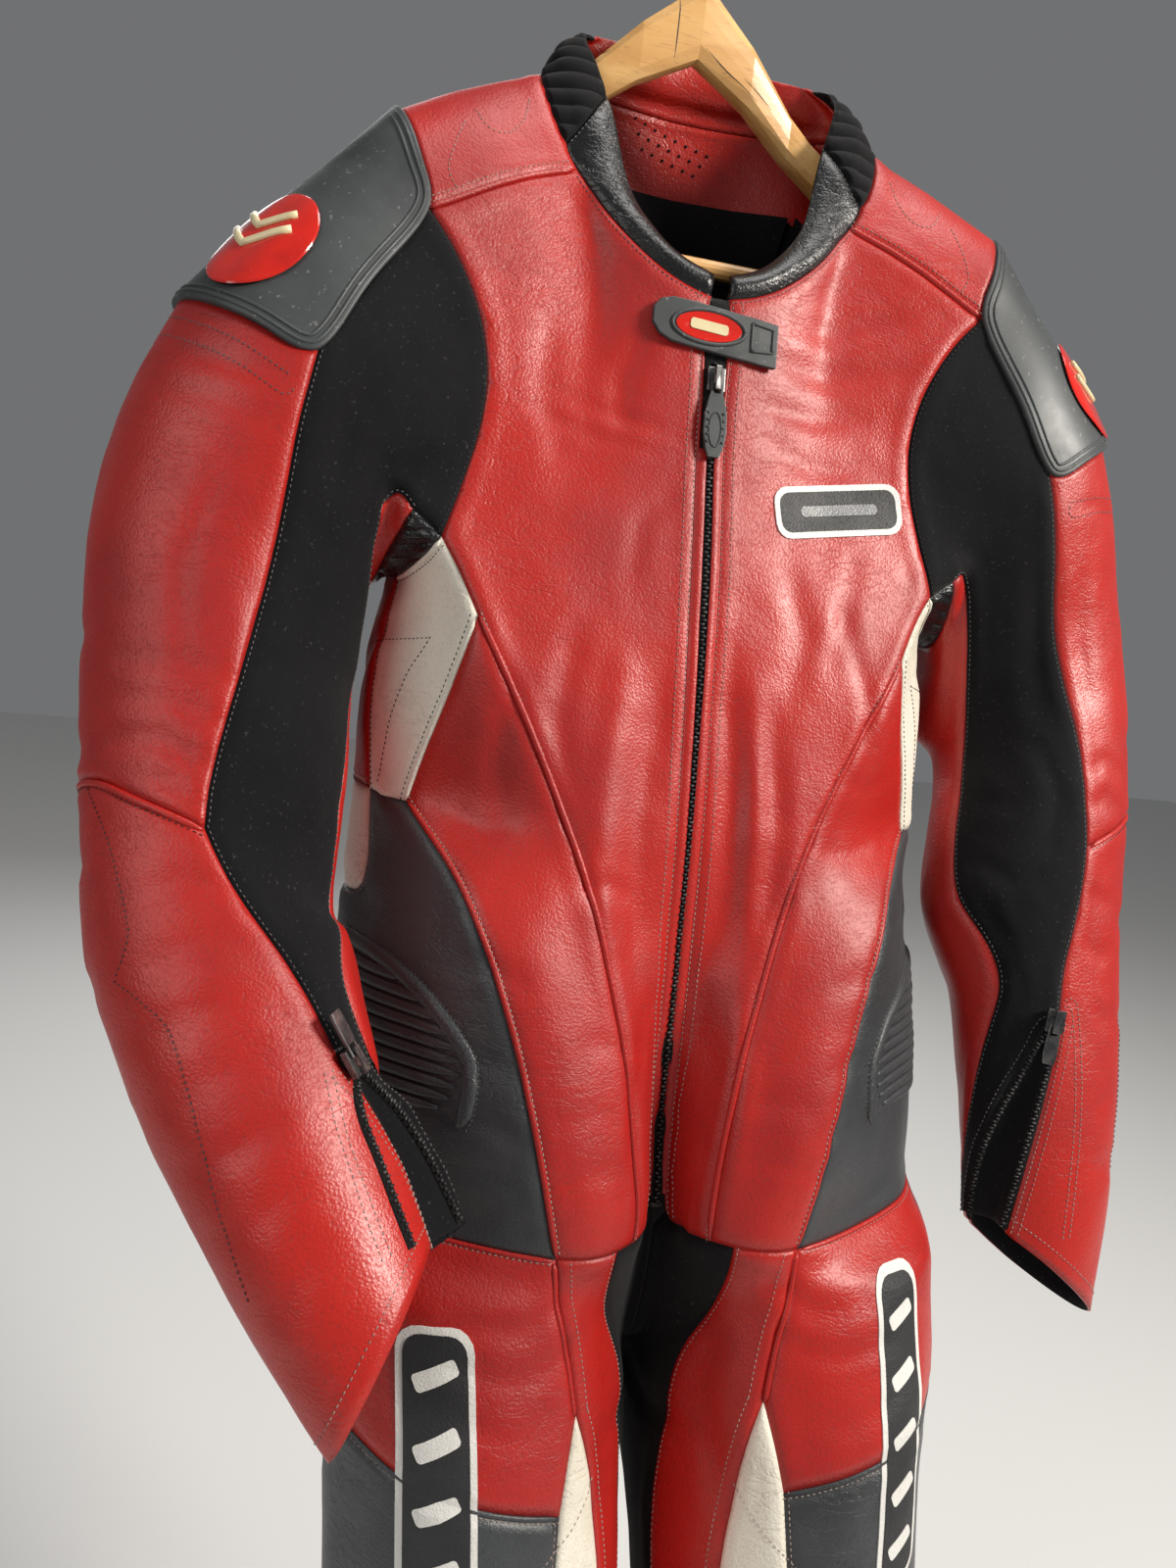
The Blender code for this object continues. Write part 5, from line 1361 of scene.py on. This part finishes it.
# the cut pieces
ribbed = {   # pleat or pucker: pitch and depth in mm, direction across the folds, finer cells
    "armpit_rib": (6.4, 1.7, (0.0, 0.25, 1.0), 2), "collar_rib": (13.0, 2.3, (0.0, 0.35, 0.94), 2),
}


def splitGarment():
    bpy.ops.object.select_all(action="DESELECT")
    garment.select_set(True)
    bpy.context.view_layer.objects.active = garment
    bpy.ops.object.mode_set(mode="EDIT")
    bpy.ops.mesh.select_all(action="SELECT")
    bpy.ops.mesh.separate(type="MATERIAL")
    bpy.ops.object.mode_set(mode="OBJECT")
    made = {}
    for piece in list(bpy.context.selected_objects):
        made[piece.data.materials[piece.data.polygons[0].material_index].name[4:]] = piece
    return made


# even pleats or puckers across a piece, dying out at its edges
def foldPiece(piece, pitch, deep, direction, finer):
    cut = piece.modifiers.new("finer", "SUBSURF")
    cut.subdivision_type = "SIMPLE"
    cut.levels = finer
    applyAll(piece)
    work = bmesh.new()
    work.from_mesh(piece.data)
    rim = [v for v in work.verts if v.is_boundary]
    tree = KDTree(len(rim))
    for i, v in enumerate(rim):
        tree.insert(v.co, i)
    tree.balance()
    across = Vector(direction).normalized()
    work.normal_update()
    moves = []
    for v in work.verts:
        away = tree.find(v.co)[2] * 1000
        turn = (v.co - zipTop).dot(across) * 1000 / pitch + 0.12 * noise.noise(v.co * 40)
        rise = abs(math.sin(math.pi * turn)) ** 0.8 * deep * min(1.0, away / 3.0)
        moves.append(v.normal * rise * 0.001)
    for v, move in zip(work.verts, moves):
        v.co += move
    work.to_mesh(piece.data)
    work.free()


liningTop = 0.094   # the dark lining stops here; the neck is bare leather above it
pieces = splitGarment()
for name, piece in pieces.items():
    piece.name = name + "_cloth"
    piece.data.materials.clear()
    piece.data.materials.append(looks[slotOf(name)])
    if plainName(name) in ribbed:
        foldPiece(piece, *ribbed[plainName(name)])
    wall = piece.modifiers.new("thickness", "SOLIDIFY")
    wall.thickness = 0.0045 if plainName(name) == "collar_front" else 0.0019
    wall.offset = -1
    if slotOf(name) not in ("black_stretch", "black_zip", "black_leather"):
        piece.data.materials.append(looks["black_stretch"])
        wall.material_offset = 1
    applyAll(piece)
    for face in piece.data.polygons:
        if face.material_index and face.center.z > zipTop.z + liningTop:
            face.material_index = 0
    bpy.ops.object.shade_smooth()
    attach(piece, "suit")
    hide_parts(name)
    wide, long, area = cuts[plainName(name)]
print("cut pieces are apart and thick:", len(pieces))


# shoulder cups with their moulded lines, and the glossy inserts
cup = {"wall": 0.0052, "ridges": (4.0, 8.2), "half": 1.1, "high": 0.9, "front": 0.030}


def makeCup(side):
    name = "shoulder_cup_" + side
    body = outerSkin(name)
    stayOnCorners(body, 2)
    mesh = bpy.data.meshes.new(name + "_shell")
    body.to_mesh(mesh)
    body.free()
    made = addObject(name + "_shell", mesh)
    smooth = made.modifiers.new("smooth", "SUBSURF")
    smooth.levels = 3
    applyAll(made)
    work = bmesh.new()
    work.from_mesh(mesh)
    work.normal_update()
    tree = BVHTree.FromBMesh(work)
    edges = {}
    for e in work.edges:
        if e.is_boundary:
            a, b = e.verts
            edges.setdefault(a.index, []).append(b.index)
            edges.setdefault(b.index, []).append(a.index)
    work.verts.ensure_lookup_table()
    at = next(iter(edges))
    last = None
    loop = [at]
    while True:
        on = [v for v in edges[at] if v != last]
        last, at = at, on[0]
        if at == loop[0]:
            break
        loop.append(at)
    points = [work.verts[i].co.copy() for i in loop]
    normals = [work.verts[i].normal.copy() for i in loop]
    middle = sum(points, Vector()) / len(points)
    line = withSides(points, normals)
    vote = sum((middle - p).dot(s) for p, n, s in line)
    line = [(p, n, s if vote > 0 else -s) for p, n, s in line]
    shown = [p.y - zipTop.y < cup["front"] for p in points]
    start = next(i for i in range(len(shown)) if shown[i] and not shown[i - 1])
    front = []
    for k in range(len(line)):
        i = (start + k) % len(line)
        if not shown[i]:
            break
        front.append(line[i])
    for distance in cup["ridges"]:
        sweep("grey_rubber", "cup" + side, beside(evenly(front, 0.004), distance, tree),
              humpProfile(cup["half"], cup["high"]), taper=0.03)
    work.free()
    wall = made.modifiers.new("thickness", "SOLIDIFY")
    wall.thickness = cup["wall"]
    wall.offset = -1
    edge = made.modifiers.new("edge", "BEVEL")
    edge.width = 0.0012
    edge.segments = 2
    edge.limit_method = "ANGLE"
    edge.angle_limit = math.radians(50)
    applyAll(made)
    bpy.ops.object.shade_smooth()
    mesh.materials.append(looks["grey_rubber"])
    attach(made, "suit")
    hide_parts(name)


# rounded copy of a CAD piece
def smoothCopy(node, name, look, levels, crease=None):
    mesh = nodes[node].data.copy()
    mesh.name = name
    made = addObject(name, mesh)
    work = bmesh.new()
    work.from_mesh(mesh)
    bmesh.ops.remove_doubles(work, verts=work.verts, dist=1e-5)
    bmesh.ops.join_triangles(work, faces=work.faces, angle_face_threshold=math.radians(25),
                             angle_shape_threshold=math.pi)
    work.to_mesh(mesh)
    work.free()
    mesh.materials.clear()
    mesh.materials.append(looks[look])
    if crease:
        edge = made.modifiers.new("edge", "BEVEL")
        edge.width = crease
        edge.segments = 2
        edge.limit_method = "ANGLE"
        edge.angle_limit = math.radians(32)
    if levels:
        smooth = made.modifiers.new("smooth", "SUBSURF")
        smooth.levels = levels
    applyAll(made)
    bpy.ops.object.shade_smooth_by_angle(angle=math.radians(40))
    return made


def treeOf(obj):
    work = bmesh.new()
    work.from_mesh(obj.data)
    tree = BVHTree.FromBMesh(work)
    work.free()
    return tree


# two raised chevrons on each insert, in mm across and up its face
insertMarks = [((-24, 6), (-4, -8), (20, 6)), ((-18, 17), (-2, 6), (17, 17))]


def markInsert(side, obj):
    low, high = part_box("shoulder_cup_insert_" + side)
    middle = (Vector(low) + Vector(high)) / 2
    tree = treeOf(obj)
    toward = Vector((1 if side == "L" else -1, -0.75, 0.35)).normalized()
    across = Vector((0, 0, 1)).cross(toward).normalized()
    up = toward.cross(across)
    for points in insertMarks:
        flat = []
        for a, b in zip(points, points[1:]):
            a, b = Vector(a), Vector(b)
            flat += [a.lerp(b, k / 6) for k in range(6)]
        flat.append(Vector(points[-1]))
        found = []
        for p in flat:
            begin = middle + (across * p.x + up * p.y) * 0.001 + toward * 0.2
            hit, normal, index, distance = tree.ray_cast(begin, -toward)
            if hit:
                found.append((hit, normal))
        if len(found) > 3:
            line = withSides([f[0] for f in found], [f[1] for f in found])
            sweep("cream_gloss", "insert" + side, line, [(2.6, -0.6), (2.4, 1.5), (1.2, 2.3), (-1.2, 2.3), (-2.4, 1.5),
                                                        (-2.6, -0.6)])


for side in "LR":
    makeCup(side)
    insert = smoothCopy("shoulder_cup_insert_" + side, "insert_" + side, "red_gloss", 1)
    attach(insert, "suit")
    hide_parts("shoulder_cup_insert_" + side)
    markInsert(side, insert)
print("shoulder cups are moulded")

# neck: lining, vent holes and the closing tab
lining = smoothCopy("neck_lining", "lining_cloth", "black_stretch", 0, 0.0003)
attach(lining, "suit")
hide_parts("neck_lining")

hardParts = {"hanger": ("pine", 0.0022), "hanger_bar": ("pine", 0.0012), "hanger_hook": ("steel", 0.0),
             "neck_tab": ("grey_rubber", 0.0008), "main_slider": ("dark_metal", 0.0007),
             "main_pull": ("grey_rubber", 0.0005), "cuff_L_slider": ("dark_metal", 0.0006),
             "cuff_R_slider": ("dark_metal", 0.0006), "cuff_L_pull": ("dark_metal", 0.0005),
             "cuff_R_pull": ("dark_metal", 0.0005)}
for name, (look, width) in hardParts.items():
    node = nodes[name]
    node.data.materials.clear()
    node.data.materials.append(looks[look])
    if width:
        weld = node.modifiers.new("weld", "WELD")
        weld.merge_threshold = 1e-5
        edge = node.modifiers.new("edge", "BEVEL")
        edge.width = width
        edge.segments = 2
        edge.limit_method = "ANGLE"
        edge.angle_limit = math.radians(35)
        edge.harden_normals = False

tabTree = treeOf(nodes["neck_tab"])


def castTab(across, up):
    hit, normal, index, distance = tabTree.ray_cast(place(across * 0.001, -0.2, up * 0.001), Vector((0, 1, 0)))
    return (hit, normal) if hit is not None else None


def tabLine(*points):
    found = [castTab(*p) for p in points]
    found = [f for f in found if f]
    return withSides([f[0] for f in found], [f[1] for f in found])


oval = [(-8 + 25 * math.cos(a), -20.5 + 10.5 * math.sin(a)) for a in (math.tau * k / 48 for k in range(48))]
layPatch("tab_field", castTab, [(-8 + (x + 8) * 0.9, -20.5 + (z + 20.5) * 0.86) for x, z in oval], -0.3, 0.7,
         "red_gloss", cell=3.0)
layPatch("tab_mark", castTab, roundedBar(-8, -20.5, 26, 6.5, -4, 0.3),
         0.5, 1.3, "cream_gloss", cell=3.0)
sweep("grey_rubber", "tab", tabLine(*oval, oval[0], oval[1]), humpProfile(1.3, 1.4))
frameAt = [(22, -31), (37, -30), (37, -15), (22, -13)]
for a, b in zip(frameAt, frameAt[1:] + frameAt[:1]):
    run = [(a[0] + (b[0] - a[0]) * k / 6, a[1] + (b[1] - a[1]) * k / 6) for k in range(7)]
    sweep("grey_rubber", "tab", tabLine(*run), humpProfile(0.9, 1.1))

hangerTree = treeOf(nodes["hanger"])


def castHanger(across, up):
    hit, normal, index, distance = hangerTree.ray_cast(place(across * 0.001, -0.2, up * 0.001), Vector((0, 1, 0)))
    return (hit, normal) if hit is not None else None


# the mitre where the arms meet, and fine checks in the wood: points in mm, half width
woodLines = [(((-33, 208), (-33, 190), (-33, 172), (-33, 160)), 0.45),
             (((-12, 170), (4, 160), (18, 153), (30, 146)), 0.35),
             (((18, 158), (32, 150), (42, 144)), 0.3), (((-98, 148), (-86, 152), (-76, 158)), 0.3)]
for points, half in woodLines:
    found = [castHanger(p.x, p.y) for p in curveThrough(points, 2.0)]
    found = [f for f in found if f]
    if len(found) > 3:
        sweep("dark_thread", "hanger", withSides([f[0] for f in found], [f[1] for f in found]),
              humpProfile(half, 0.12, 0.4), taper=0.3)


# raised oval and side teeth on the rubber pull of the front zip
def dressPull():
    low, high = (Vector(c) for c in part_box("main_pull"))
    tree = treeOf(nodes["main_pull"])
    middle = (low + high) / 2
    points, faces = [], []
    rolls[("grey_rubber", "pull")] = (points, faces)

    def cast(x, z):
        hit, normal, index, distance = tree.ray_cast(Vector((middle.x + x * 0.001, -1, middle.z + z * 0.001)),
                                                     Vector((0, 1, 0)))
        return (hit, normal) if hit is not None else None

    ring = [cast(4.2 * math.cos(a), -6 + 11 * math.sin(a)) for a in (math.tau * k / 32 for k in range(34))]
    ring = [f for f in ring if f]
    sweep("grey_rubber", "pull", withSides([f[0] for f in ring], [f[1] for f in ring]), humpProfile(0.6, 0.7))
    for k in range(5):
        for sign in (-1, 1):
            run = [cast(sign * (6.0 + t), -14 + k * 4.6) for t in (-1.4, -0.7, 0.0)]
            run = [f for f in run if f]
            if len(run) == 3:
                sweep("grey_rubber", "pull", withSides([f[0] for f in run], [f[1] for f in run]),
                      humpProfile(0.9, 0.9))
    rolls.pop(("grey_rubber", "pull"))
    relief = closeUp("pull_relief", points, faces, "grey_rubber")
    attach(relief, "main_pull")


dressPull()

for row in range(3):
    for k in range(8 - row):
        found = onCloth("torso", "front", -38 + k * 8.5 + row * 4.5, 144 - k * 1.8 - row * 9)
        if found:
            p, n = found
            n = Vector((0, -1, 0)) if n.y > 0 else n
            at = p + n * 0.0022
            points, faces = rolls.setdefault(("black_stretch", "vents"), ([], []))
            base = len(points)
            side = n.cross(Vector((0, 0, 1))).normalized()
            up = side.cross(n)
            for high in (0.0, 0.0003):
                points += [at + n * high + (side * math.cos(a) + up * math.sin(a)) * 0.0011
                           for a in (math.tau * i / 8 for i in range(8))]
            faces.append(tuple(base + i for i in reversed(range(8))))
            faces.append(tuple(base + 8 + i for i in range(8)))
            for i in range(8):
                j = (i + 1) % 8
                faces.append((base + i, base + j, base + 8 + j, base + 8 + i))

for (colour, area), (points, faces) in threads.items():
    closeUp("stitches_" + colour + "_" + area, points, faces, colour + "_thread")
for (look, area), (points, faces) in rolls.items():
    closeUp("welts_" + look + "_" + area, points, faces, look)
print("small parts are in place")
